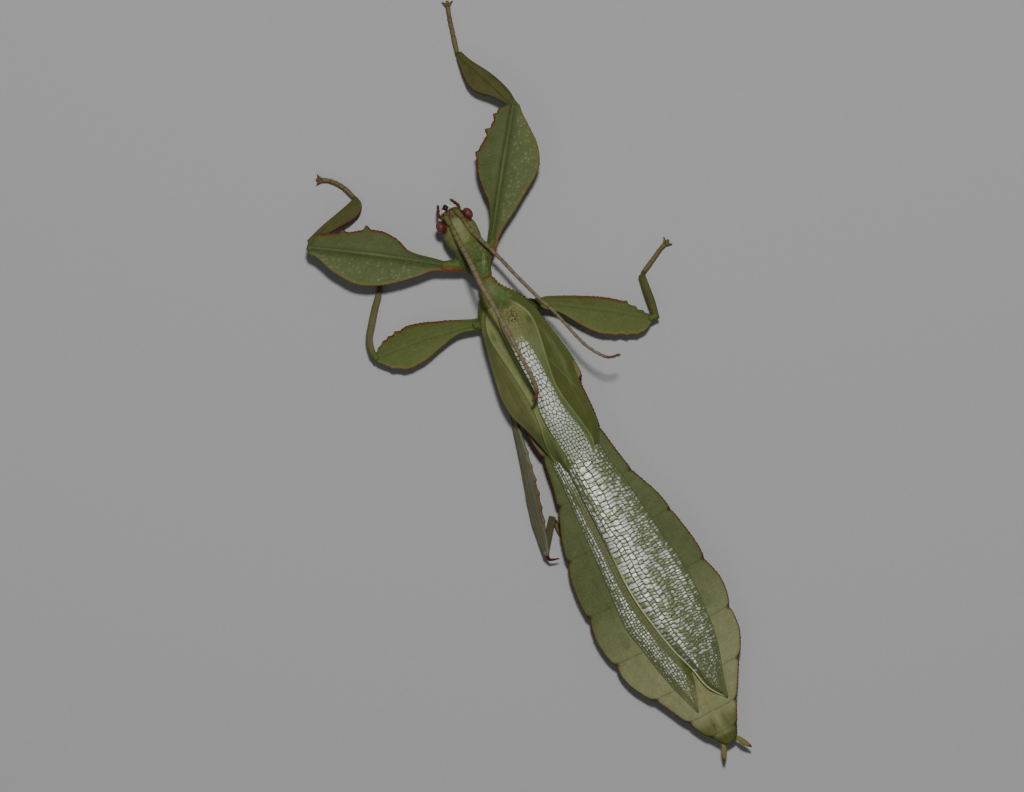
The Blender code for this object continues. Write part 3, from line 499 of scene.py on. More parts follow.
def body_base():
    """Closed rough form of the head and body in one piece, with the hips sunk into it."""
    ys = np.concatenate([np.linspace(-1.45, 4.2, 60), np.linspace(4.35, 68.5, 330)])
    sides = 128
    rings = np.zeros((len(ys), sides, 3))
    head_low, head_high = (read([(row[0], row[end]) for row in HEAD], ys) for end in (2, 3))
    squareness = read(SQUARENESS, ys)
    head_part = head_mask(ys)
    fold = 1.0 - 0.04 * hump(ys - 3.6, 0.2)
    for index, turn in enumerate(turns(sides)):
        across = math.cos(turn)
        half = body_half(np.full(len(ys), across), ys) * fold
        x = half * across
        edge = (body_top(half, ys) + body_bottom(half, ys)) / 2
        middle = (head_high + head_low) / 2 * head_part + edge * (1 - head_part)
        if math.sin(turn) > 0:
            limit = head_high * head_part + body_top(x, ys) * (1 - head_part)
        else:
            limit = head_low * head_part + body_bottom(x, ys) * (1 - head_part)
        full = np.sqrt(np.maximum(1.0 - abs(across) ** squareness, 0.0))
        rings[:, index] = np.stack([x, ys, middle + (limit - middle) * full], -1)
    return ring_object("body_base", rings, [(0.0, -1.6, 2.9), (0.0, 68.58, 2.1)])


# Each leg: paths of its parts, widths of its lobes along their leading and trailing sides (one for
# both sides where only leading is given), main teeth as places and heights, and its lobes' tilt.
LEGS = {
    "front_left": {
        "coxa": [(1.3, 5.2, 2.5), (3.35, 4.25, 2.8)],
        "femur": [(3.75, 4.0, 2.9), (9.9, -0.5, 3.2), (16.35, -4.85, 3.3)],
        "leading": [(0.0, 0.6), (0.8, 0.7), (4.0, 1.15), (5.4, 2.15), (7.1, 2.85), (9.0, 2.9),
                    (11.0, 2.4), (13.0, 2.05), (14.5, 1.75), (15.2, 1.0), (15.5, 0.6)],
        "trailing": [(0.0, 0.6), (0.8, 0.75), (2.6, 1.7), (4.8, 2.7), (7.0, 3.4), (9.3, 3.6),
                     (10.8, 3.2), (12.8, 2.2), (14.6, 0.95), (15.5, 0.6)],
        "leading_teeth": [(9.3, 0.6), (12.0, 0.45), (15.0, 0.4)],
        "tibia": [(15.75, -5.55, 2.75), (12.2, -6.5, 2.0), (9.0, -7.4, 0.95)],
        "tibia_leading": [(0.0, 0.42), (2.2, 0.5), (5.5, 0.35), (7.0, 0.38)],
        "tibia_trailing": [(0.0, 0.42), (1.6, 0.55), (2.8, 0.88), (4.0, 1.22), (5.0, 1.45), (6.0, 1.45),
                           (6.7, 1.1), (7.0, 0.7)],
        "tarsus": [(9.05, -7.75, 0.5), (9.5, -9.2, 0.4), (10.1, -10.25, 0.4), (10.75, -10.95, 0.4),
                   (11.45, -11.4, 0.4)],
    },
    "front_right": {
        "coxa": [(-1.4, 5.35, 2.5), (-2.75, 4.4, 2.8)],
        "femur": [(-3.05, 3.95, 2.9), (-7.6, -2.2, 3.2), (-12.5, -8.6, 3.3)],
        "leading": [(0.0, 0.65), (2.0, 0.72), (4.0, 1.2), (5.6, 2.15), (7.2, 2.95), (8.9, 3.3),
                    (10.0, 3.15), (11.2, 2.7), (12.9, 2.2), (14.4, 1.75), (15.2, 1.2), (15.75, 0.65)],
        "trailing": [(0.0, 0.6), (1.8, 1.25), (3.8, 2.15), (6.2, 3.1), (8.4, 3.9), (9.8, 3.95),
                     (11.6, 3.35), (13.2, 2.3), (14.8, 1.1), (15.75, 0.6)],
        "leading_teeth": [(9.5, 0.3), (12.3, 0.55), (14.2, 0.45), (15.0, 0.35)],
        "tibia": [(-12.25, -9.1, 2.9), (-11.0, -12.9, 2.2), (-9.6, -16.6, 0.95)],
        "tibia_leading": [(0.0, 0.42), (2.0, 1.2), (3.5, 1.95), (4.5, 2.1), (5.3, 1.9), (7.0, 1.0),
                          (7.9, 0.42)],
        "tibia_trailing": [(0.0, 0.45), (1.0, 0.75), (2.3, 0.85), (4.1, 0.75), (6.4, 0.4), (7.9, 0.42)],
        "tarsus": [(-9.4, -17.0, 0.5), (-9.8, -18.5, 0.4), (-10.2, -19.9, 0.4), (-10.6, -21.3, 0.4),
                   (-11.0, -22.4, 0.4)],
    },
    "middle_left": {
        "coxa": [(1.9, 12.45, 1.9), (3.4, 12.05, 2.2)],
        "femur": [(3.6, 11.95, 2.25), (9.3, 10.7, 2.1), (15.45, 9.95, 1.9)],
        "leading": [(0.0, 0.8), (1.4, 1.1), (4.5, 1.7), (7.4, 2.2), (8.4, 1.95), (9.6, 1.7),
                    (10.6, 1.4), (11.4, 0.95), (12.1, 0.5)],
        "trailing": [(0.0, 0.6), (1.4, 0.5), (2.45, 0.65), (4.5, 1.45), (6.5, 2.25), (7.6, 2.45),
                     (8.6, 2.55), (9.6, 2.3), (10.6, 1.8), (11.6, 1.05), (12.1, 0.55)],
        "leading_teeth": [(9.05, 0.28), (10.0, 0.25), (10.8, 0.25), (11.5, 0.2)],
        "trailing_teeth": [(9.6, 0.15), (10.8, 0.15)],
        "tibia": [(15.55, 9.1, 1.8), (15.15, 7.6, 1.6), (14.0, 6.05, 1.3), (12.9, 4.7, 1.05),
                  (12.0, 3.75, 0.85)],
        "tibia_leading": [(0.0, 0.36), (3.0, 0.42), (6.6, 0.38)],
        "tarsus": [(11.7, 3.35, 0.45), (10.9, 2.1, 0.4), (10.3, 1.1, 0.4), (9.8, 0.3, 0.4),
                   (9.4, -0.5, 0.4)],
    },
    "middle_right": {
        "coxa": [(-2.2, 12.2, 1.9), (-4.0, 13.05, 2.2)],
        "femur": [(-4.15, 13.2, 2.25), (-9.8, 16.9, 2.1), (-14.85, 20.75, 1.9)],
        "leading": [(0.0, 0.7), (0.8, 1.0), (5.2, 1.4), (8.8, 1.5), (10.4, 1.2), (12.0, 0.65),
                    (13.25, 0.5)],
        "trailing": [(0.0, 0.5), (2.0, 0.7), (2.9, 0.98), (4.6, 1.75), (6.4, 2.45), (7.9, 2.7),
                     (9.0, 2.6), (10.1, 2.4), (11.1, 2.25), (12.1, 1.95), (12.9, 1.4), (13.25, 0.7)],
        "leading_teeth": [(10.15, 0.3), (11.3, 0.25), (12.2, 0.22)],
        "trailing_teeth": [(9.6, 0.18), (10.9, 0.18), (12.1, 0.15)],
        "tibia": [(-15.5, 20.75, 1.75), (-15.8, 19.2, 1.5), (-16.0, 17.7, 1.2), (-16.25, 16.05, 0.85)],
        "tibia_leading": [(0.0, 0.38), (2.4, 0.47), (4.8, 0.4)],
        "tarsus": [(-16.65, 15.6, 0.45), (-17.7, 15.1, 0.4), (-18.7, 14.6, 0.4), (-19.6, 14.15, 0.4),
                   (-20.4, 13.85, 0.4)],
    },
    "hind_left": {
        "coxa": [(3.0, 21.4, 1.5), (4.25, 22.6, 1.1)],
        "femur": [(4.4, 22.9, 1.0), (5.35, 26.5, 1.7), (6.7, 31.4, 2.0), (8.65, 39.2, 1.9)],
        "leading": [(0.0, 0.5), (3.0, 0.6), (7.0, 0.85), (10.3, 1.1), (13.0, 1.1), (15.6, 0.7),
                    (16.6, 0.5)],
        "trailing": [(0.0, 0.5), (3.0, 0.8), (6.0, 1.1), (8.6, 1.35), (11.0, 1.35), (13.3, 1.2),
                     (15.1, 0.9), (16.6, 0.5)],
        "trailing_teeth": [(5.0, 0.25), (6.6, 0.25), (8.2, 0.3), (9.8, 0.3), (11.4, 0.3), (13.0, 0.25)],
        "tilt": 58.0,
        "spine": [(8.75, 39.3, 1.75), (8.6, 40.0, 1.7), (8.1, 40.25, 1.7), (7.6, 40.4, 1.7)],
        "tibia": [(8.35, 38.7, 1.3), (7.2, 37.2, 0.95), (6.2, 36.0, 0.75)],
        "tibia_leading": [(0.0, 0.36), (1.8, 0.44), (3.4, 0.42)],
        "tarsus": [(6.0, 36.5, 0.4), (6.1, 37.6, 0.36), (6.0, 38.7, 0.36), (5.8, 39.7, 0.36),
                   (5.5, 40.7, 0.36)],
    },
    "hind_right": {
        "coxa": [(-1.9, 21.4, 1.7), (-2.2, 22.6, 1.2)],
        "femur": [(-2.2, 22.9, 1.05), (-2.8, 31.0, 0.95), (-4.3, 39.2, 0.95)],
        "leading": [(0.0, 0.45), (4.0, 0.5), (8.0, 0.6), (12.0, 0.9), (15.0, 0.6), (16.4, 0.45)],
        "trailing": [(0.0, 0.45), (4.0, 0.9), (8.0, 1.4), (12.0, 1.5), (15.0, 0.8), (16.4, 0.45)],
        "trailing_teeth": [(6.5, 0.2), (8.5, 0.25), (10.5, 0.25), (12.5, 0.2)],
        "tibia": [(-4.2, 39.7, 0.95), (-3.6, 43.4, 0.85), (-3.0, 47.2, 0.7)],
        "tibia_leading": [(0.0, 0.36), (3.8, 0.45), (7.5, 0.38)],
        "tarsus": [(-2.9, 47.7, 0.4), (-2.75, 48.8, 0.36), (-2.6, 49.9, 0.36), (-2.5, 50.9, 0.36),
                   (-2.3, 51.9, 0.36)],
    },
}
# Radii of the legs' round parts, ends of the foot joints as shares of the foot, and a claw's bends:
# ahead, beside and height.
HIP_RADII = {"front": 0.76, "middle": 0.66, "hind": 0.55}
KNEE_RADIUS = 0.36
ANKLE_RADIUS = 0.29
SPINE_RADII = [0.25, 0.19, 0.13, 0.07]
PAD_RADII = [0.18, 0.27, 0.2]
CLAW_RADII = [0.15, 0.14, 0.1, 0.03]
FOOT_JOINTS = np.array([0.0, 0.38, 0.52, 0.65, 0.77, 1.0])
CLAW_BENDS = [(0.0, 0.0, 0.4), (0.28, 0.2, 0.48), (0.52, 0.4, 0.4), (0.62, 0.62, 0.16)]


def turns(sides):
    """Angles of the points of a ring."""
    return 2 * math.pi * (np.arange(sides) + 0.5) / sides


def rings_round(centre, side, up, radius, turn, flatten=1.0):
    """Rings of points round a path."""
    return (centre[:, None] + side[:, None] * (radius[:, None] * np.cos(turn))[..., None]
            + up[:, None] * (radius[:, None] * np.sin(turn) * flatten)[..., None])


def capped(rows, count=1):
    """Rows of values with the first and the last one repeated for the ends of a limb."""
    return np.concatenate([np.repeat(rows[:1], count, 0), rows, np.repeat(rows[-1:], count, 0)])


def tube(name, path, radii, sides=24, rows=40, paint=None, flat=None, flatten=1.0):
    """A round limb with domed ends along a path; its thickness runs through the radii. The paint
    is one colour or a function of the length and the angle."""
    lead = np.linspace(0.0, 1.0, rows)
    centre, forward, side, up = frames(path, lead)
    radius = read([(index / (len(radii) - 1), size) for index, size in enumerate(radii)], lead)
    dome = 0.5 * math.pi * (1 - np.linspace(0.15, 1.0, 6))[:-1]
    before = centre[0] - forward[0] * radius[0] * (np.sin(dome) * 0.9)[:, None]
    after = centre[-1] + forward[-1] * radius[-1] * (np.sin(dome[::-1]) * 0.9)[:, None]
    centre = np.concatenate([before, centre, after])
    radius = np.concatenate([radius[0] * np.cos(dome), radius, radius[-1] * np.cos(dome[::-1])])
    side, up, along = (capped(values, len(dome)) for values in (side, up, lead))
    turn = turns(sides)
    rings = rings_round(centre, side, up, radius, turn, flatten)
    hubs = [rings[0].mean(0) - forward[0] * radius[0] * 0.3,
            rings[-1].mean(0) + forward[-1] * radius[-1] * 0.3]
    if flat is not None:
        rings[..., 2] = np.maximum(rings[..., 2], flat)
        hubs = [(hub[0], hub[1], max(hub[2], flat)) for hub in hubs]
    if callable(paint):
        length_along = np.repeat(along[:, None], sides, 1) * path_length(path)
        paint = paint(length_along, np.broadcast_to(turn, rings.shape[:2]))
    elif paint is not None:
        paint = np.broadcast_to(paint, rings.shape)
    return ring_object(name, rings, hubs, paint, np.zeros(rings.shape[:2]))


def stored(items, field, width=3, kind=float):
    """One field of all of a mesh's points, edges or corners, in rows."""
    values = np.zeros(len(items) * width, kind)
    items.foreach_get(field, values)
    return values.reshape(-1, width)


def smooth_mesh(item, rounds):
    """Even out a mesh's points towards their neighbours."""
    mesh = item.data
    count = len(mesh.vertices)
    points = stored(mesh.vertices, "co")
    edges = stored(mesh.edges, "vertices", 2, np.int64)
    degree = np.bincount(edges.ravel(), minlength=count).astype(float)[:, None]
    for _round in range(rounds):
        total = np.stack([np.bincount(edges[:, 0], points[edges[:, 1], axis], count)
                          + np.bincount(edges[:, 1], points[edges[:, 0], axis], count)
                          for axis in range(3)], -1)
        points = points + (total / degree - points) * 0.5
    mesh.vertices.foreach_set("co", points.ravel())
    mesh.update()


def mesh_arrays(item):
    """Plan points and normals of a mesh."""
    mesh = item.data
    return to_plan(stored(mesh.vertices, "co")), stored(mesh.vertex_normals, "vector")


def seam_distance(x, y):
    """Distance to the nearest line between two segments, which bows a little backwards."""
    bow = 0.25 * (x / 8.0) ** 2
    return np.min(np.abs((y + bow)[..., None] - np.array(SEGMENT_ENDS)), axis=-1)


def sculpt_body(points, normals):
    """Fine relief of the body's skin, as a height along its normals in millimetres."""
    x, y = points[:, 0], points[:, 1]
    up = step((normals[:, 2] - 0.1) / 0.5)
    half = body_half(x, y)
    edge = half - np.abs(x)
    trunk = step((y - 23.0) / 1.0)
    height = -0.03 * hump(seam_distance(x, y), 0.1) * trunk
    height += 0.03 * hump(edge - 0.12, 0.14) * trunk
    rim = step((0.12 - edge) / 0.12) * step((y - 7.9) / 0.4)
    place = y / 0.42 + 0.4 * np.sin(y * 1.3)
    tooth = 0.5 + 0.5 * np.cos(2 * math.pi * place)
    height += (0.03 + 0.05 * scatter(np.floor(place + 0.5), 5.0)) * (tooth ** 2) * rim
    crumble = step((y - 7.9) / 0.4) * step((12.5 - y) / 1.0) * (x < 0)
    height += 0.11 * (tooth ** 2) * step((0.2 - edge) / 0.15) * crumble
    height += 0.10 * hump(x - 0.05, 0.22) * step((y - 58.0) / 5.0) * up
    height += 0.05 * hump(np.abs(x) - 0.62 * half, 0.35) * step((y - 24.0) / 3.0) * up
    height += 0.015 * ripple(x, y, 1.3, 1.0) * trunk
    thorax = step((y - 3.9) / 0.4) * (1.0 - trunk)
    height += 0.07 * hump(x, 0.16) * thorax * up
    height += 0.06 * hump(np.abs(x) - 0.7 * half, 0.18) * thorax * up
    height -= 0.12 * hump(y - 7.75, 0.16) - 0.03 * hump(y - 8.3, 0.2)
    height -= 0.10 * hump(y - 13.5, 0.14) * step((13.9 - y) / 0.2)
    height -= 0.06 * hump(y - 5.6 - 0.25 * np.abs(x), 0.14) * thorax * up
    head = head_mask(y)
    height -= 0.05 * hump(x, 0.09) * head * up * step((y - 0.2) / 0.5)
    height += 0.05 * hump(np.abs(x) - 0.55, 0.25) * head * up
    height -= 0.08 * hump(np.hypot(np.abs(x) - 0.85, y + 0.5) - 0.42, 0.1) * up
    height += 0.06 * hump(np.hypot(x * 0.9, y - 2.2) - 0.75, 0.3) * head * up
    height += 0.045 * grains(x, y) * (1.0 - step((y - 12.5) / 2.0)) * up
    return height


def grains(x, y):
    """Scattered small granules of the head and thorax, one where each stands."""
    cell_x, cell_y = np.floor(x / 0.42), np.floor(y / 0.42)
    near_x = (cell_x + 0.15 + 0.7 * scatter(cell_x, cell_y, 1)) * 0.42
    near_y = (cell_y + 0.15 + 0.7 * scatter(cell_x, cell_y, 2)) * 0.42
    size = 0.04 + 0.06 * scatter(cell_x, cell_y, 3)
    return hump(np.hypot(x - near_x, y - near_y), size) * (scatter(cell_x, cell_y, 4) > 0.5)


def paint_body(points, normals, looks):
    """Colours and gloss of the body's skin."""
    x, y = points[:, 0], points[:, 1]
    wide = np.abs(x)
    right, left = x < 0, x > 0
    edge = body_half(x, y) - wide
    up = step((normals[:, 2] - 0.1) / 0.5)
    head = head_mask(y)
    trunk = step((y - 22.9) / 0.5)
    seam = seam_distance(x, y)
    base = over(looks.head[:], (looks.thorax[:], step((y - 3.2) / 0.8)),
                (looks.abdomen[:], step((y - 18.0) / 6.0)),
                (looks.tail[:], step((y - 45.0) / 14.5)),
                (tone(86, 88, 48), 0.85 * step((y - 64.4) / 1.8) * (1.0 - 0.55 * hump(x, 0.9))))
    line, owner, _near = net_cells(x, y, (0.62, 0.5), 41.0)
    base = base * (1.0 + 0.07 * ripple(x, y, 2.6, 2.0) + 0.04 * ripple(x, y, 0.8, 5.0))[:, None]
    lined = 0.09 * hump(line, 0.05) * step((y - 23.5) / 2.0)
    base = base * (1.0 + 0.05 * (owner - 0.5) + lined)[:, None]

    stripe = hump(x + 0.1, 0.3) * hump(y - 1.9, 1.0) * (0.7 + 0.3 * ripple(x, y, 0.7, 8.0))
    curl = hump(np.hypot(wide * 1.2 - 0.42, y - 0.55) - 0.28, 0.07)
    front = step((0.15 - y + 0.25 * wide) / 0.6) * head
    near_eye = np.hypot((wide - 1.78) * 1.1, (y - 0.05) * 0.85) - 0.72
    # Painted highlight: two pale streaks on top of the pronotum.
    painted_highlight = hump(x + 1.25 - 0.55 * (y - 5.2), 0.09) + hump(x + 0.95 - 0.5 * (y - 5.3), 0.07)
    neck = hump(y - 7.75, 0.45) * step((0.2 - x) / 0.8)
    grain = grains(x, y) * (1.0 - step((y - 12.5) / 2.0)) * up
    base = over(base, (tone(128, 138, 100), 0.85 * stripe * head),
                (tone(72, 80, 38), 0.35 * hump(wide - 1.0, 0.3) * step((y - 0.4) / 0.8) * head),
                (tone(96, 108, 58), 0.45 * hump(wide - 1.55, 0.3) * hump(y - 1.7, 1.1)),
                (tone(122, 128, 92), 0.55 * curl),
                (tone(80, 60, 44), 0.8 * front),
                (tone(52, 34, 26), 0.7 * front * step((ripple(x, y, 0.5, 3.0) - 0.05) / 0.3)),
                (tone(78, 30, 30), 0.85 * step((0.22 - near_eye) / 0.2) * head),
                (tone(58, 74, 32), 0.6 * hump(x + 0.6, 0.9) * hump(y - 5.2, 0.9)),
                (tone(128, 140, 100), 0.55 * painted_highlight * hump(y - 5.9, 0.75) * up),
                (tone(108, 112, 74), 0.7 * hump(y - 9.0, 1.0) * hump(x, 0.75)),
                (tone(112, 74, 40), 0.75 * neck),
                (tone(64, 48, 28), 0.6 * hump(y - 7.7, 0.14) * step((0.6 - x) / 0.6)),
                (tone(96, 62, 44), 0.65 * step((0.35 - edge) / 0.3) * hump(y - 8.9, 1.5) * left),
                (tone(66, 92, 42), 0.5 * hump(x + 0.6, 0.9) * hump(y - 10.7, 0.9)),
                (tone(136, 144, 108), 0.35 * grain))

    side = step((0.2 - edge) / 0.16)
    ragged = 0.5 + 0.5 * ripple(x * 0.3, y, 0.9, 0.7)
    corner = hump(seam, 0.3) * step((0.6 - edge) / 0.45)
    rear = 5.75 - 0.6 * (wide - 1.65)
    hips = step((y - rear + 0.3) / 0.2) * step((wide - 1.45) / 0.25) * step((6.3 - y) / 0.3)
    bead = hump(np.hypot(wide - 3.1, y - 4.75), 0.35)
    waist = hump(y - 9.2, 1.3) * step((0.26 - edge) / 0.2) * right
    brow = step((0.18 - edge) / 0.14) * step((y - 10.5) / 1.0) * step((13.5 - y) / 1.0) * right
    flake = step((-4.05 - x) / 0.2) * step((y - 20.6) / 0.4) * step((23.6 - y) / 0.2)
    flank = step((x - 4.3) / 0.3) * step((y - 21.6) / 0.6) * step((23.6 - y) / 0.3)
    band = step((0.42 - edge) / 0.12) * step((edge - 0.1) / 0.1)
    band = band * step((y - 23.2) / 0.4) * step((29.5 - y) / 1.0)
    near_edge = step((0.42 - edge) / 0.35) * trunk
    base = over(base, (tone(112, 84, 52), 0.35 * near_edge * (0.4 + 0.6 * ragged)),
                (looks.margin[:], side * trunk * (0.6 + 0.4 * ragged)),
                (tone(58, 14, 12), 0.85 * corner * trunk),
                # Painted shade: a dark line in the grooves between the segments.
                (tone(56, 58, 30), 0.4 * hump(seam, 0.08) * trunk),
                (looks.orange[:], 0.85 * hips),
                (tone(160, 86, 54), 0.6 * bead * step((y - rear + 0.4) / 0.2)),
                (looks.orange[:], 0.8 * waist),
                (tone(60, 20, 16), 0.7 * waist * step(ripple(x, y, 0.6, 1.0) * 2.0)),
                (tone(56, 28, 20), 0.7 * brow),
                (tone(122, 112, 70), 0.75 * flake),
                (tone(56, 22, 16), 0.9 * flake * step((y - 22.5 - 0.35 * (x + 4.9)) / 0.25)),
                (tone(108, 96, 56), 0.6 * flank),
                (tone(132, 98, 78), 0.6 * band))

    spot = np.hypot((wide - 5.3) / 0.7, (y - 52.4) / 1.3)
    middle = hump(x - 0.05, 0.2) * step((y - 60.4) / 0.8) * step((66.6 - y) / 0.8)
    streak = hump(wide - 0.55 - 0.06 * (y - 62), 0.16) * step((y - 64.6) / 0.6) * step((67.0 - y) / 0.8)
    under = step((-normals[:, 2] + 0.05) / 0.5)
    base = over(base, (tone(84, 90, 56), 0.35 * step((1.0 - spot) / 0.3)),
                (tone(116, 120, 84), 0.3 * hump(spot - 1.0, 0.12)),
                (tone(140, 132, 92), 0.6 * middle),
                (tone(128, 124, 84), 0.5 * hump(x, 0.9) * hump(y - 62.6, 1.6)),
                (tone(70, 74, 36), 0.45 * streak),
                (tone(64, 70, 28), 0.8 * step((y - 67.0) / 0.7)),
                (tone(52, 34, 20), 0.6 * hump(np.hypot(x - 0.75, y - 65.9), 0.16)),
                (looks.belly[:], 0.8 * under * (1 - side)))
    return base, 0.2 + 0.25 * head + 0.35 * hump(y - 6.0, 2.0) + 0.3 * grain


def move_points(item, points):
    """Set a mesh's points from plan millimetres."""
    item.data.vertices.foreach_set("co", to_frame(points).ravel())
    item.data.update()


class LEAF_OT_skin(bpy.types.Operator):
    """Grow one skin over the head, thorax, abdomen and hips"""
    bl_idname = "leaf_insect.skin"
    bl_label = "Body Skin"

    def execute(self, context):
        looks = context.scene.leaf_skin
        parts = [body_base()]
        for name, leg in LEGS.items():
            wide = HIP_RADII[name.split("_")[0]]
            start, end = np.array(leg["coxa"][0]), np.array(leg["coxa"][1])
            path = [tuple(start), tuple((start + end) / 2), tuple(end + (end - start) * 0.06)]
            parts.append(tube("hip", path, [wide, wide * 0.97, wide * 0.8]))
        skin = join(parts, "body_skin")
        skin.data.remesh_voxel_size = looks.voxel
        remesh = skin.modifiers.new("skin", "REMESH")
        remesh.mode = "VOXEL"
        remesh.voxel_size = looks.voxel
        bpy.context.view_layer.objects.active = skin
        bpy.ops.object.modifier_apply(modifier=remesh.name)
        smooth_mesh(skin, 4)
        points, normals = mesh_arrays(skin)
        move_points(skin, points + normals * sculpt_body(points, normals)[:, None])
        points, normals = mesh_arrays(skin)
        paint, gloss = paint_body(points, normals, looks)
        set_paint(skin, paint, gloss)
        skin.data.shade_smooth()
        made = cuticle("leaf_skin", tone(134, 144, 100), 5.0, 0.3, 0.07, 0.6, 0.35)
        nodes = ["head", "pronotum", "mesothorax", "metathorax"]
        nodes += ["abdomen_%d" % number for number in range(2, 11)]
        nodes += ["coxa_" + name for name in LEGS]
        dress(skin, made, "abdomen_green", *nodes)
        return {"FINISHED"}


class LEAF_PG_legs(bpy.types.PropertyGroup):
    """Sizes and colours of the legs."""
    front: colour("Front Femur", "Lobes of the front legs", 77, 86, 49)
    middle: colour("Middle Femur", "Lobes of the middle legs", 82, 91, 44)
    hind: colour("Hind Femur", "Lobes of the hind legs", 102, 102, 80)
    rib: colour("Rib", "Line along the middle of a lobe", 52, 60, 30)
    shin: colour("Shin", "Shins of the front and middle legs", 70, 71, 39)
    pale_shin: colour("Pale Shin", "Shin of the middle left leg", 88, 84, 53)
    hind_shin: colour("Hind Shin", "Shins of the hind legs", 70, 67, 46)
    foot: colour("Foot", "Foot joints", 94, 82, 54)
    edge: colour("Toothed Edge", "Toothed edges of the lobes", 84, 24, 22)
    rim: colour("Plain Edge", "Plain edges of the lobes", 112, 84, 50)
    claw: colour("Claw", "Claws", 88, 72, 42)
    spine: colour("Spine", "Spine at the hind knee", 66, 28, 24)
    serration: length("Serration", "Height of the fine saw between the main teeth", 0.00007, 0.0, 0.0005)


def tooth_bump(teeth, where, size=0.9):
    """Extra width of an edge from its saw teeth, which lean to the knee."""
    extra = np.zeros_like(where)
    for centre, height in teeth:
        rising = np.clip((where - centre + size * 0.75) / (size * 0.75), 0, 1) * (where <= centre)
        falling = np.clip((centre + size * 0.25 - where) / (size * 0.25), 0, 1) * (where > centre)
        extra = np.maximum(extra, height * (rising + falling))
    return extra


def fine_saw(where, height, seed):
    """Small uneven teeth about half a millimetre apart."""
    tooth = where / 0.48 + 0.3 * np.sin(where * 1.7 + seed)
    number, place = np.floor(tooth), tooth - np.floor(tooth)
    tall = height * (0.4 + 1.2 * scatter(number, seed))
    return tall * np.clip(place * 1.3, 0, 1) * (1 - step((place - 0.75) / 0.25))


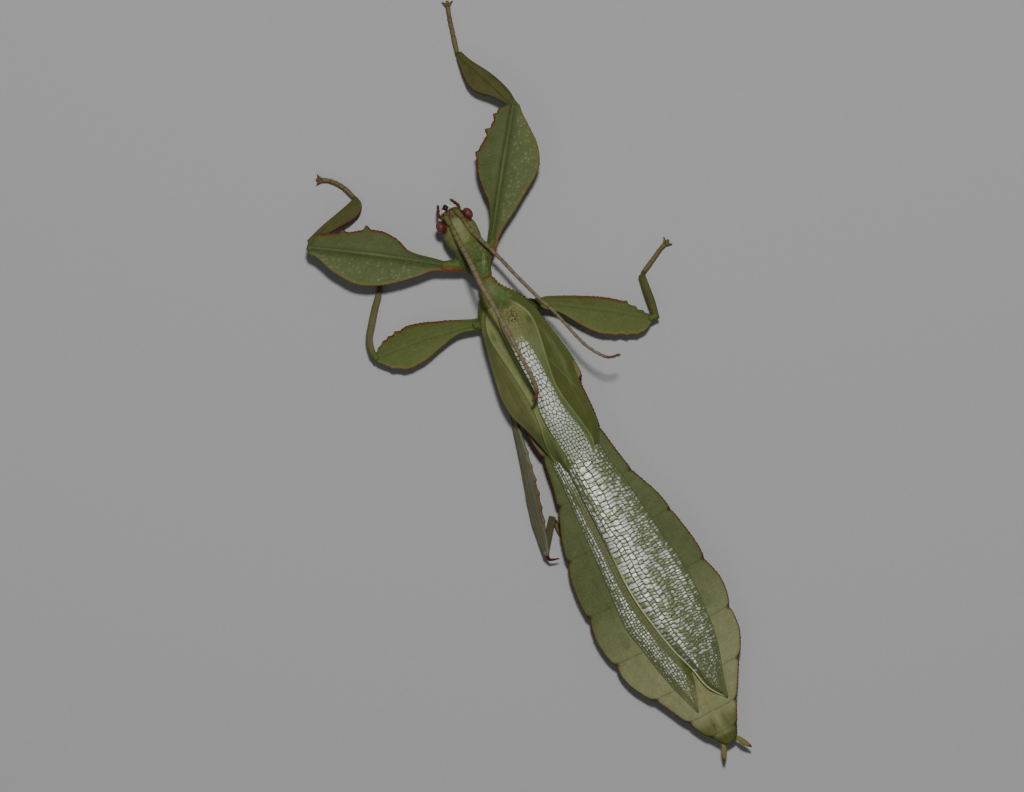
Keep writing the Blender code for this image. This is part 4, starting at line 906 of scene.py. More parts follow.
def blade(name, path, widths, teeth, tilt, rib, sign, looks, body_colour, seed, lobed, crest, start=0.0):
    """A leaf-like limb segment: a rib between two thin lobes with toothed, dark edges. Its widths
    and teeth are given for the leading and the trailing side."""
    size = path_length(path)
    marks = np.linspace(0.0, size, max(int(size / 0.11), 24))
    centre, forward, side, up = frames(path, marks / size)
    side = side * sign
    turn = math.radians(tilt)
    across = side * math.cos(turn) - up * math.sin(turn)
    normal = up * math.cos(turn) + side * math.sin(turn)
    place = (marks - start) * widths[0][-1][0] / (size - start)
    fractions = np.concatenate([np.linspace(0, 0.84, 17), [0.89, 0.93, 0.965, 0.99, 1.0]])
    reaches, broads = [], []
    for index, count in enumerate((len(fractions), len(fractions) - 1)):
        reach = np.maximum(read(widths[index], place), rib * 0.9)
        broad = step((reach - 0.9) / 0.7)
        saw = fine_saw(marks, looks.serration / MM * (1.0, 0.8)[index], seed + 3 * index)
        reach = reach + tooth_bump(teeth[index], place) + saw * broad
        reaches.append(np.repeat(reach[:, None], count, 1))
        broads.append(np.repeat(broad[:, None], count, 1))
    reach, broad = np.concatenate(reaches, 1), np.concatenate(broads, 1)
    offsets = reach * np.concatenate([fractions[::-1], -fractions[1:]])
    out = np.abs(offsets)
    from_edge = reach - out
    leading, trailing = offsets > 0, offsets <= 0
    thin = 0.15 + 0.05 * hump(from_edge - 0.15, 0.12)
    thin = thin * (0.25 + 0.75 * np.sqrt(np.clip(from_edge / 0.12, 0, 1)))
    along = np.repeat(marks[:, None], offsets.shape[1], 1)
    lift = 0.07 * np.sin(along * 0.55 + seed) * (out / np.maximum(reach, 0.5)) ** 2
    lift += 0.02 * np.sin(along * 2.3 + offsets * 1.3 + seed) * step((out - rib) / 0.6)
    _line, owner, near = net_cells(along, offsets, (0.5, 0.42), seed + 60.0)
    grain = hump(near, 0.1 + 0.12 * owner) * step((out - rib) / 0.3) * step((from_edge - 0.1) / 0.1)
    grain = grain * (owner > 0.5) * np.where(leading, 0.25, 1.0) * step((crest - 0.1) / 0.5)
    ridge = 0.05 * crest * (hump(offsets - rib * 0.5, 0.1) - hump(offsets + 0.1, 0.12)) + 0.03 * grain
    high = lift + np.maximum(thin, rib * crest * hump(out, rib * 1.9)) + ridge
    deep = lift - np.maximum(thin, rib * hump(out, rib * 0.95))
    flat = centre[:, None] + across[:, None] * offsets[..., None]
    top, low = (flat + normal[:, None] * height[..., None] for height in (high, deep))
    rings = np.concatenate([top, low[:, ::-1]], 1)
    ends, caps = [], []
    for index, way in ((0, -1.0), (-1, 1.0)):
        ends.append(centre[index] + forward[index] * rib * 0.35 * way)
        cap = centre[index] + forward[index] * rib * 0.22 * way + (rings[index] - centre[index]) * 0.72
        caps.append(cap[None])
    rings = np.concatenate([caps[0], rings, caps[1]])

    body = np.array(body_colour)
    mottle = 1.0 + 0.07 * ripple(along, offsets, 2.2, seed) + 0.05 * ripple(along, offsets, 0.9, seed + 2)
    tint = body * mottle[..., None]
    if lobed:
        spread = 0.8 * step((out / reach - 0.2) / 0.4)
        groove = 0.9 * hump(offsets + 0.14, 0.17) + 0.75 * hump(offsets - rib * 0.9, 0.28)
        # Painted highlight: a pale line along the crest of the rib.
        painted_highlight = hump(offsets - rib * 0.4, 0.08) * (0.35 + 0.65 * hump(along - 8.0, 3.5))
        uneven = 0.6 + 0.4 * ripple(along, offsets * 0.2, 1.1, seed + 1.0)
        toothy = broad * (0.55 + 0.45 * uneven)
        border = looks.edge[:] if tilt > 0 else looks.rim[:]
        root = step((3.4 - along) / 2.2) * step((0.4 - from_edge) / 0.2) * trailing * (crest > 0.5)
        tint = over(tint, (body * (0.98 + 0.34 * crest), spread * trailing),
                    (body * 0.84 * np.array([0.97, 1.0, 0.72]), spread * leading),
                    (looks.rib[:], 1.5 * crest * groove),
                    (body * 2.2, 0.8 * crest * painted_highlight),
                    (tone(138, 144, 108), 0.45 * grain * (0.5 + 0.5 * trailing)),
                    (tone(120, 96, 50), 0.4 * step((0.42 - from_edge) / 0.15) * toothy),
                    (looks.edge[:], 0.95 * step((0.3 - from_edge) / 0.1) * leading * toothy),
                    (border, 0.85 * step((0.2 - from_edge) / 0.1) * trailing * toothy),
                    (tone(116, 72, 46), 0.75 * root))
    else:
        rim = step((reach - 0.75) / 0.3) * step((0.2 - from_edge) / 0.12)
        # A painted highlight, a lighter copy of the colour, runs along the raised middle; the thin edges
        # are darker and then dark red.
        tint = over(tint, (body * 1.25, 0.3 * hump(offsets - 0.05, 0.16)),
                    (body * 0.6, 0.5 * step((0.12 - from_edge) / 0.1)), (looks.edge[:], 0.85 * rim))
    colours = capped(np.concatenate([tint, tint[:, ::-1]], 1))
    gloss = capped(np.concatenate([0.3 + 0.3 * grain, np.full(offsets.shape, 0.2)], 1))
    return ring_object(name, rings, ends, colours, gloss)


def past_end(end, before, far):
    """The point a little way past the end of a path."""
    run = np.array(end) - np.array(before)
    return tuple(np.array(end) + run / np.linalg.norm(run) * far)


def knob(name, first, second, radius, tint):
    """A short round joint between two limb segments."""
    path = [first, tuple((np.array(first) + np.array(second)) / 2), second]
    return tube(name, path, [radius, radius * 1.05, radius * 0.95], 22, 14, tint)


def foot(name, path, looks):
    """Five foot joints with their pads, flat on the ground, and two claws."""
    rows, sides = 110, 26
    lead = np.linspace(0.0, 1.0, rows)
    centre, forward, side, _up = frames(path, lead)
    which = np.clip(np.searchsorted(FOOT_JOINTS, lead, side="right") - 1, 0, 4)
    inside = (lead - FOOT_JOINTS[which]) / (FOOT_JOINTS[which + 1] - FOOT_JOINTS[which])
    thick = 0.27 + 0.04 * np.sin(np.clip(inside, 0, 1) ** 1.4 * math.pi * 0.62) - 0.04 * lead
    thick -= 0.025 * hump(inside - 1.0, 0.07) + 0.015 * hump(inside, 0.06)
    turn = turns(sides)
    rings = np.zeros((rows, sides, 3))
    rings[..., :2] = centre[:, None, :2] + side[:, None, :2] * (thick[:, None] * np.cos(turn))[..., None]
    lift = np.clip(centre[:, 2] - 0.36, 0, 1)[:, None]
    rings[..., 2] = np.maximum(0.30 + thick[:, None] * np.sin(turn) + lift, 0.0)
    hubs = [(*(centre[0] - forward[0] * 0.1)[:2], 0.35), (*(centre[-1] + forward[-1] * 0.1)[:2], 0.22)]
    brown = np.array(looks.foot[:])
    tint = over(brown, (looks.shin[:], 0.7 * step((0.4 - lead) / 0.4)[:, None]),
                # Painted light: the upper side is a lighter copy of the brown.
                (brown * 1.4, 0.4 * np.clip(np.sin(turn), 0, 1)[None]),
                (tone(72, 46, 28), 0.6 * (hump(inside - 1.0, 0.1) + hump(inside, 0.06))[:, None]))
    body = ring_object(name, rings, hubs, tint, np.full((rows, sides), 0.3))
    tip, ahead, beside = centre[-1], forward[-1], side[-1]
    pad = [(*(tip + ahead * far)[:2], 0.2) for far in (-0.12, 0.22, 0.5)]
    pad = tube(name + "_pad", pad, PAD_RADII, 18, 12, tone(98, 80, 46), flat=0.0, flatten=0.8)
    claws = []
    for way in (-1.0, 1.0):
        root = tip - ahead * 0.1 + beside * way * 0.06
        line = [(*(root + ahead * far + beside * way * wide)[:2], high) for far, wide, high in CLAW_BENDS]
        claws.append(tube(name + "_claw", line, CLAW_RADII, 12, 18, looks.claw[:]))
    return join([body, pad], name), join(claws, name.replace("tarsus", "claws").replace("_skin", ""))


class LEAF_OT_legs(bpy.types.Operator):
    """Build the lobed femora, shins, feet and claws of the six legs"""
    bl_idname = "leaf_insect.legs"
    bl_label = "Legs"

    def execute(self, context):
        looks = context.scene.leaf_legs
        lobes = cuticle("lobe_skin", tone(132, 142, 104), 4.2, 0.4, 0.08, 0.58, 0.4)
        shins = cuticle("shin_skin", tone(108, 106, 66), 6.0, 0.3, 0.1, 0.62, 0.4)
        feet = cuticle("foot_skin", tone(120, 100, 62), 7.0, 0.3, 0.12, 0.5, 0.4)
        horn = glossy_paint("claw_horn", 0.42, 0.15, 12.0, 0.2)
        for index, (name, leg) in enumerate(LEGS.items()):
            sign = -1.0 if name.endswith("left") else 1.0
            green, olive, rib, crest = {
                "front": (looks.front[:], looks.shin[:], 0.42, 0.6),
                "middle": (looks.middle[:], looks.shin[:], 0.37, 0.22),
                "hind": (looks.hind[:], looks.hind_shin[:], 0.37, 0.22)}[name.split("_")[0]]
            if name == "middle_left":
                olive = looks.pale_shin[:]
            thigh, shin = leg["femur"], leg["tibia"]
            teeth = (leg.get("leading_teeth", []), leg.get("trailing_teeth", []))
            femur = blade("femur", [past_end(thigh[0], thigh[1], 0.5)] + thigh[1:],
                          (leg["leading"], leg["trailing"]), teeth, leg.get("tilt", 0.0), rib, sign,
                          looks, green, 1.7 * index, True, crest, 0.5)
            parts = [femur, knob("knee", thigh[-1], shin[0], KNEE_RADIUS, green)]
            if "spine" in leg:
                parts.append(tube("spine", leg["spine"], SPINE_RADII, 18, 24, looks.spine[:]))
            dress(join(parts, "femur_%s_skin" % name), lobes, "femur_green", "femur_" + name)
            path = [past_end(shin[0], shin[1], 0.3)] + shin[1:-1] + [past_end(shin[-1], shin[-2], 0.25)]
            widths = (leg["tibia_leading"], leg.get("tibia_trailing", leg["tibia_leading"]))
            tibia = blade("tibia", path, widths, ([], []), 0.0, 0.32, 1.0, looks, olive,
                          1.1 * index + 0.5, False, 0.75)
            ankle = knob("ankle", shin[-1], leg["tarsus"][0], ANKLE_RADIUS, olive)
            dress(join([tibia, ankle], "tibia_%s_skin" % name), shins, "tibia_olive", "tibia_" + name)
            tarsus, claws = foot("tarsus_%s_skin" % name, leg["tarsus"], looks)
            dress(tarsus, feet, "tarsus_brown", "tarsus_" + name)
            dress(claws, horn, "tarsus_brown")
        return {"FINISHED"}


# Height of a wing in the stack, its skin's thickness and middle, and points along and across it.
WING_THICK = 0.45
VEIN_RISE = 0.12
LAYER = WING_THICK + VEIN_RISE + GAP
WING_SKIN = 0.2
SKIN_MIDDLE = 0.12
HINDWING_GRID = (860, 98)
TEGMEN_GRID = (460, 124)
# Outlines of the wings: (Y, X).
TEGMEN_LEFT_OUTER = [(11.0, 2.1), (12.0, 2.8), (13.0, 3.2), (15.0, 3.7), (18.0, 4.35), (21.0, 4.85),
                     (23.3, 4.75), (25.5, 4.0), (27.5, 3.45), (29.0, 3.15), (30.5, 2.9), (31.9, 2.2)]
TEGMEN_LEFT_INNER = [(11.0, 0.35), (16.0, 0.1), (20.0, -0.2), (26.0, -0.4), (30.0, 0.4), (31.9, 1.7)]
TEGMEN_RIGHT_OUTER = [(11.0, -2.1), (12.0, -2.9), (13.0, -3.4), (15.0, -3.85), (18.0, -4.4),
                      (20.5, -4.6), (21.3, -4.4), (22.7, -4.2), (24.5, -4.0), (27.0, -3.9),
                      (29.0, -3.6), (30.5, -2.9), (32.6, -1.2)]
TEGMEN_RIGHT_INNER = [(11.0, -0.1), (12.0, 0.6), (13.0, 0.95), (15.0, 1.1), (18.0, 1.12),
                      (22.0, 1.15), (24.5, 1.65), (28.0, 1.6), (30.5, 1.4), (32.6, -0.5)]
HINDWING_LEFT_OUTER = [(14.8, 2.3), (20.0, 3.2), (26.0, 3.2), (32.0, 3.3), (36.0, 3.5), (39.0, 3.75),
                       (44.0, 4.05), (49.0, 4.5), (51.5, 4.55), (54.0, 4.1), (57.0, 3.6),
                       (60.0, 2.9), (62.5, 2.15), (63.6, 1.8)]
HINDWING_LEFT_INNER = [(14.8, 0.9), (20.0, 0.1), (30.0, -0.3), (45.0, -0.3), (55.0, -0.2),
                       (59.5, 0.2), (62.0, 0.9), (63.6, 1.5)]
HINDWING_RIGHT_OUTER = [(14.8, -2.3), (20.0, -3.1), (26.0, -3.1), (32.0, -2.9), (36.0, -3.6),
                        (40.0, -4.0), (44.0, -4.5), (47.0, -4.9), (50.0, -5.0), (53.0, -4.85),
                        (57.0, -4.3), (60.0, -3.4), (62.0, -2.75), (63.6, -2.35)]
HINDWING_RIGHT_INNER = [(14.8, -0.9), (18.0, 0.4), (24.0, 1.5), (32.0, 1.9), (38.0, 2.0), (43.0, 2.1),
                        (47.0, 2.2), (50.0, 2.0), (53.0, 1.5), (56.0, 0.9), (59.0, 0.0),
                        (61.3, -0.5), (62.6, -1.2), (63.6, -2.05)]
# Pale main vein of each fore wing and the branch of the right one: (Y, X).
VEIN_LEFT = [(11.0, 1.4), (12.5, 2.35), (14.0, 2.75), (16.0, 2.65), (18.0, 2.4), (20.0, 2.22),
             (22.0, 2.1), (24.0, 2.1), (26.0, 2.35), (28.0, 2.75), (30.0, 2.8), (31.8, 2.3)]
VEIN_RIGHT = [(11.0, -1.25), (12.5, -2.2), (13.5, -2.6), (15.0, -2.7), (17.0, -2.4), (18.5, -2.1),
              (20.0, -1.8), (22.0, -1.5), (23.5, -1.5), (25.0, -1.7), (27.5, -2.1), (30.0, -2.3),
              (32.4, -1.3)]
VEIN_BRANCH = [(18.8, -2.15), (20.5, -2.55), (22.0, -3.0), (24.0, -3.55), (26.0, -3.85)]
# Left and right limits of the clear net in the right fore wing: (Y, X).
NET_LEFT = [(15.4, 0.3), (16.0, 0.95), (18.0, 1.05), (22.0, 1.1), (24.5, 1.6), (28.0, 1.55),
            (30.5, 1.35), (32.6, 0.6)]
NET_RIGHT = [(15.2, -0.8), (17.0, -1.1), (22.0, -1.15), (25.0, -1.2), (29.0, -1.9), (32.6, -1.7)]


class LEAF_PG_wings(bpy.types.PropertyGroup):
    """Sizes and colours of the four wings."""
    leather: colour("Fore Wing", "Outer part of the fore wings", 80, 87, 45)
    inner: colour("Fore Wing Inside", "Inner part of the fore wings", 104, 108, 66)
    vein: colour("Pale Vein", "Main vein of the fore wings", 134, 140, 92)
    line: colour("Net Line", "Veins of the net", 66, 78, 44)
    # The pale cell colour is partly the skin's milky tint and partly painted sheen; the dim one is the
    # cells' colour away from that sheen, and the brightest is a painted glint.
    cell: colour("Cell", "Skin between the veins of the net", 136, 144, 114)
    dim: colour("Dim Cell", "Skin of the net near the margin and tail", 90, 98, 62)
    painted_highlight: colour("Shine", "Brightest cells of the net", 214, 217, 200)
    beige: colour("Beige Edge", "Folded inner edge of the right hind wing", 198, 189, 142)
    cell_length: length("Cell Length", "Length of the hind wing's inner cells", 0.00042, 0.0002, 0.003)


def left_share(x):
    """One where the left wings lie beneath, falling to zero on the right side."""
    return step((x + 3.4) / 2.9)


def right_share(x):
    """One where the right hind wing lies beneath, falling to zero at the left margin."""
    return step((4.2 - x) / 1.7)


def root_share(y):
    """Zero at the roots of the fore wings and one where the hind wings lie beneath them."""
    return step((y - 11.2) / 3.2)


def hindwing_left_low(x, y):
    """Underside of the left hind wing."""
    return body_top(x, y) + GAP


def hindwing_right_low(x, y):
    """Underside of the right hind wing."""
    return body_top(x, y) + GAP + LAYER * left_share(x)


def tegmen_left_low(x, y):
    """Underside of the left fore wing."""
    return body_top(x, y) + GAP + LAYER * root_share(y) * (1.0 + right_share(x))


def tegmen_right_low(x, y):
    """Underside of the right fore wing."""
    beneath = LAYER * root_share(y) * (1.0 + left_share(x))
    return body_top(x, y) + GAP + beneath + LAYER * left_share(x) * step((y - 10.6) / 1.5)


def wing_grid(inner, outer, size):
    """Plan places of a wing's points, and each one's share of the width and distance to its rim."""
    rows, columns = size
    first, last = inner[0][0], inner[-1][0]
    along = np.linspace(0.0, 1.0, rows)
    y = first + (last - first) * (along - 0.35 * np.sin(2 * math.pi * along) / (2 * math.pi))
    a, b = read(inner, y), read(outer, y)
    across = np.linspace(0.0, 1.0, columns)
    across = across - 0.25 * np.sin(2 * math.pi * across) / (2 * math.pi)
    x = a[:, None] + (b - a)[:, None] * across[None]
    yy = np.repeat(y[:, None], columns, 1)
    width = np.abs(b - a)[:, None]
    rim = np.minimum(across[None], 1 - across[None]) * width
    rim = np.minimum(rim, np.minimum(yy - first, last - yy))
    return x, yy, np.repeat(across[None], rows, 0), rim, width


def wing_object(name, x, y, low, rise, rim, paint, gloss, drop):
    """A wing's closed membrane with its net raised, thinning and sinking to its rim."""
    base = low(x, y) + SKIN_MIDDLE - drop * (1.0 - step(rim / 0.9))
    close = np.sqrt(np.clip(rim / 0.12, 0.0, 1.0))
    half = WING_SKIN * 0.5 * (0.35 + 0.65 * close)
    top = np.stack([x, y, base + half + rise], -1)
    bottom = np.stack([x, y, base - half + np.minimum(rise, 0.0) - np.maximum(rise, 0.0) * 0.3], -1)
    return sheet_object(name, top, bottom, paint, gloss)


def net_cells(x, y, spacing, seed):
    """Cells of an uneven net of about the given spacing: distance to the net's lines, a repeatable
    number for each cell, and distance to the cell's middle in spacings."""
    cell_x, cell_y = np.floor(x / spacing[0]), np.floor(y / spacing[1])
    best, second, owner = np.full(x.shape, 9.0), np.full(x.shape, 9.0), np.zeros(x.shape)
    for step_x in (-1, 0, 1):
        for step_y in (-1, 0, 1):
            near_x, near_y = cell_x + step_x, cell_y + step_y
            px = (near_x + 0.5 + 0.75 * (scatter(near_x, near_y, seed) - 0.5)) * spacing[0]
            py = (near_y + 0.5 + 0.75 * (scatter(near_x, near_y, seed + 1) - 0.5)) * spacing[1]
            gap = np.hypot((x - px) / spacing[0], (y - py) / spacing[1])
            closer = gap < best
            second = np.where(closer, best, np.minimum(second, gap))
            owner = np.where(closer, scatter(near_x, near_y, seed + 2), owner)
            best = np.where(closer, gap, best)
    return (second - best) * 0.5 * min(spacing), owner, best


# Long veins of the hind wings' nets as shares of the width, in front of and behind Y 40.
NET_VEINS = {"left": ([0.0, 0.12, 0.23, 0.335, 0.435, 0.53, 0.62, 0.705, 0.785, 0.86, 0.93, 1.0],
                      [0.0, 0.12, 0.23, 0.335, 0.435, 0.53, 0.62, 0.7, 0.77, 0.84, 0.92, 1.0]),
             "right": ([0.0, 0.035, 0.1, 0.17, 0.25, 0.43, 0.6, 0.7, 0.78, 0.86, 0.93, 1.0],
                       [0.0, 0.02, 0.17, 0.27, 0.37, 0.46, 0.56, 0.65, 0.73, 0.81, 0.9, 1.0])}


def cell_stretch(y):
    """How much longer the hind wings' cells are at Y than the usual ones."""
    return 1.0 + 0.4 * hump(y - 34.0, 5.0) + 0.12 * hump(y - 46.0, 5.0)


def hindwing_net(x, y, across, width, looks, seed, inner_band):
    """Rise, colour and gloss of a hind wing's rows of cells between its long veins; each cell
    leans its own way, so that some catch the light. Its paler band of cells is painted sheen,
    and the white spots in them are painted glints."""
    side = -1.0 if inner_band else 1.0
    front, rear = (np.array(row) for row in NET_VEINS["right" if inner_band else "left"])
    veins = front + (rear - front) * step((y - 36.0) / 8.0)[..., None]
    wobble = 0.014 * np.sin(y * 0.9 + 5 * across + seed) + 0.01 * np.sin(y * 2.3 + seed)
    place = np.clip(across + wobble * np.sin(across * math.pi), 0, 1)
    strip = np.clip((place[..., None] >= veins).sum(-1) - 1, 0, len(front) - 2)
    low, high = (np.take_along_axis(veins, strip[..., None] + more, -1)[..., 0] for more in (0, 1))
    inside = (place - low) / (high - low)
    wide = (high - low) * width
    to_vein = np.minimum(inside, 1 - inside) * wide
    outer_part = step((strip / 11.0 - 0.35) / 0.35)
    spacing = looks.cell_length / MM * (1.08 - 0.3 * outer_part) * (0.9 + 0.2 * scatter(strip, seed))
    marks = np.linspace(0.0, 70.0, 1401)
    counted = np.cumsum(marks[1] / cell_stretch(marks))
    tilt = (scatter(strip, seed + 5) - 0.5) * 0.6
    row = np.interp(y, marks, counted) / spacing + inside * tilt + 0.3 * np.sin(y * 1.9 + strip * 2.4)
    row = row + 7.3 * scatter(strip, seed + 1) + 0.16 * ripple(x, y, 0.8, seed)
    spacing = spacing * cell_stretch(y)
    number = np.floor(row)
    part = row - number
    to_cross = np.minimum(part, 1 - part) * spacing
    line = np.minimum(to_vein, to_cross)
    lucky = scatter(number, strip, seed + 3)
    dome = np.clip(4 * inside * (1 - inside), 0, 1) * np.clip(4 * part * (1 - part), 0, 1)
    lean = (part - 0.5) * spacing * (0.02 + 0.24 * scatter(number, strip, seed + 6))
    sideways = side * (0.25 * scatter(number, strip, seed + 7) - 0.05)
    lean = lean + (inside - 0.5) * np.minimum(wide, 0.6) * sideways
    rise = 0.035 * hump(to_vein, 0.05) + 0.02 * hump(to_cross, 0.04) + 0.025 * dome + lean
    # Painted sheen: the cells are paler in a band along the wing, fading to the margin and the tail.
    inward = 1.0 - step((across - (0.4 if inner_band else 0.75)) / 0.6)
    if inner_band:
        inward = inward * (1.0 - 0.6 * step((40.0 - y) / 4.0) * step((0.25 - across) / 0.06))
    light = (0.3 + 0.7 * inward) * (1.0 - 0.9 * step((y - 44.0) / 18.0))
    light = light * (0.75 + 0.25 * hump(y - 38.0, 9.0))
    # Painted glints: white spots in some cells, broken up by ripples.
    glint_breakup = 0.5 * ripple(x, y, 0.55, seed) + 0.45 * ripple(x, y, 0.27, seed + 2.0)
    glint_breakup = glint_breakup + 0.45 * ripple(x, y * 0.6, 1.5, seed + 1.0)
    painted_glint = dome ** 0.3 * (0.45 + 0.8 * lucky) + 0.55 * glint_breakup - 0.48 - 0.42 * (1.0 - light)
    painted_glint = step(painted_glint / 0.25) * step((line - 0.035) / 0.05)
    tint = over(looks.dim[:], (looks.cell[:], light * step((line - 0.02) / 0.08)),
                (looks.line[:], 0.9 * (1 - step((line - 0.03) / 0.045)) * (0.4 + 0.6 * light)),
                (looks.painted_highlight[:], (0.5 + 0.5 * light) * painted_glint))
    return rise, tint, 0.25 + 0.75 * step((line - 0.02) / 0.06) * (0.3 + 0.7 * light)


def build_hindwing(name, inner, outer, low, seed, looks, inner_band):
    """One hind wing: the right one with its folded pale inner edge, the left one with the olive
    strip that shows beside it."""
    x, y, across, rim, width = wing_grid(inner, outer, HINDWING_GRID)
    rise, tint, gloss = hindwing_net(x, y, across, width, looks, seed, inner_band)
    margin = step((0.45 - (1 - across) * width) / 0.4)
    quiet = mix(tone(80, 89, 51), tone(98, 104, 66), step((y - 44.0) / 14.0))
    tip = tone(90, 96, 57) if inner_band else tone(108, 111, 70)
    tint = over(tint, (tip, 0.75 * step((y - 58.5) / 3.5)), (quiet, 0.85 * margin))
    drop = 0.4 * step((0.5 - across) / 0.2) + 0.4 * step((across - 0.5) / 0.2)
    if inner_band:
        edge = across * width
        tint = mix(tint, looks.beige[:], 0.95 * step((0.2 - edge) / 0.06) * step((y - 40.0) / 7.0))
        rise = rise * step((edge - 0.12) / 0.1) + 0.05 * hump(edge - 0.08, 0.07)
        gloss = gloss * step((edge - 0.1) / 0.2)
        drop = drop + (0.1 + 0.3 * step((y - 48.0) / 8.0)) * step((0.5 - across) / 0.2)
    else:
        edge = x - read(HINDWING_RIGHT_INNER, y)
        band = step((0.95 - edge) / 0.12) * step((y - 30.0) / 6.0)
        fine = np.sin(edge * 26.0 + 0.3 * np.sin(y * 0.8))
        olive = np.array(tone(80, 84, 41)) * (1.0 + 0.14 * fine)[..., None]
        tint = over(tint, (olive, 0.95 * band), (tone(116, 118, 76), 0.7 * step((y - 60.5) / 2.0)))
        rise = rise * (1 - 0.9 * band) + 0.012 * fine * band
        gloss = gloss * (1 - 0.6 * band)
    rise = rise * np.clip(rim / 0.15, 0, 1)
    return wing_object(name, x, y, low, rise, rim, tint, gloss, drop)


def right_net(x, y, vein_x, edge, looks, rise, tint, gloss):
    """Rise, colour and gloss of the right fore wing with its clear net, its side vein and the
    small cells between the net and the main vein; edge is the distance from its inner margin."""
    branch = x - read(VEIN_BRANCH, y)
    there = step((y - 18.8) / 0.8) * step((26.0 - y) / 2.5)
    rise = rise + 0.04 * hump(branch, 0.07) * there
    tint = mix(tint, tone(114, 120, 72), 0.5 * hump(branch, 0.05) * there)
    left_edge, right_edge = read(NET_LEFT, y), read(NET_RIGHT, y)
    inside = step((left_edge - x + 0.05) / 0.12) * step((x - right_edge) / 0.25) * step((y - 15.2) / 0.6)
    coarse = net_cells(x + 0.12 * np.sin(y * 2.0), y, (0.4, 0.6), 11.0)
    small = net_cells(x, y, (0.36, 0.42), 17.0)
    rearward = step((y - 25.0) / 0.8) > 0.5
    line, owner, near = (np.where(rearward, *pair) for pair in zip(small, coarse))
    cell = step((line - 0.02) / 0.035)
    # Painted glints: white spots in some cells, strongest along the middle of the net, over pale cells
    # that are partly painted sheen.
    bright = 0.6 + 0.4 * hump(x - (left_edge + right_edge) / 2 - 0.1, 0.8)
    rough = 0.35 * ripple(x, y, 0.3, 6.0)
    early = step((y - 15.6 - 1.6 * owner) / 0.5)
    glint = cell * step((owner + rough + 0.25) / 0.55) * bright * (0.1 + 0.9 * early)
    net = mix(tone(58, 70, 38), tone(150, 157, 130), cell)
    net = mix(tone(100, 106, 66), net, 0.15 + 0.85 * step((y - 15.4) / 2.0))
    net = mix(net, looks.painted_highlight[:], glint * (step((29.5 - y) / 6.0) * 0.25 + 0.7))
    dome = np.clip(1.0 - (near / 0.62) ** 2, 0, 1)
    rise = rise * (1 - inside) + inside * (0.025 * hump(line, 0.04) + 0.06 * dome * (0.3 + 0.7 * owner))
    gloss = gloss * (1 - inside) + inside * (0.25 + 0.75 * cell)
    outer_line, outer_owner, _near = net_cells(x, y, (0.3, 0.34), 23.0)
    beside = step((right_edge - x) / 0.3) * step((x - vein_x) / 0.3) * step((y - 25.0) / 2.0)
    outer_cell = step((outer_line - 0.02) / 0.05) * (0.4 + 0.6 * outer_owner)
    strip = step((x - 0.95) / 0.08) * step((15.6 - y) / 0.6) * step((y - 12.0) / 1.0)
    tint = over(tint, (net, inside), (mix(looks.line[:], tone(138, 144, 114), outer_cell), 0.8 * beside),
                (tone(112, 114, 76), 0.5 * strip),
                # Painted shadow: a dark line along the inner margin at the front, where this wing steps
                # down onto the left one.
                (tone(54, 40, 26), 0.7 * step((0.07 - edge) / 0.05) * step((19.0 - y) / 2.0)))
    return rise + 0.02 * hump(outer_line, 0.04) * beside, tint, gloss


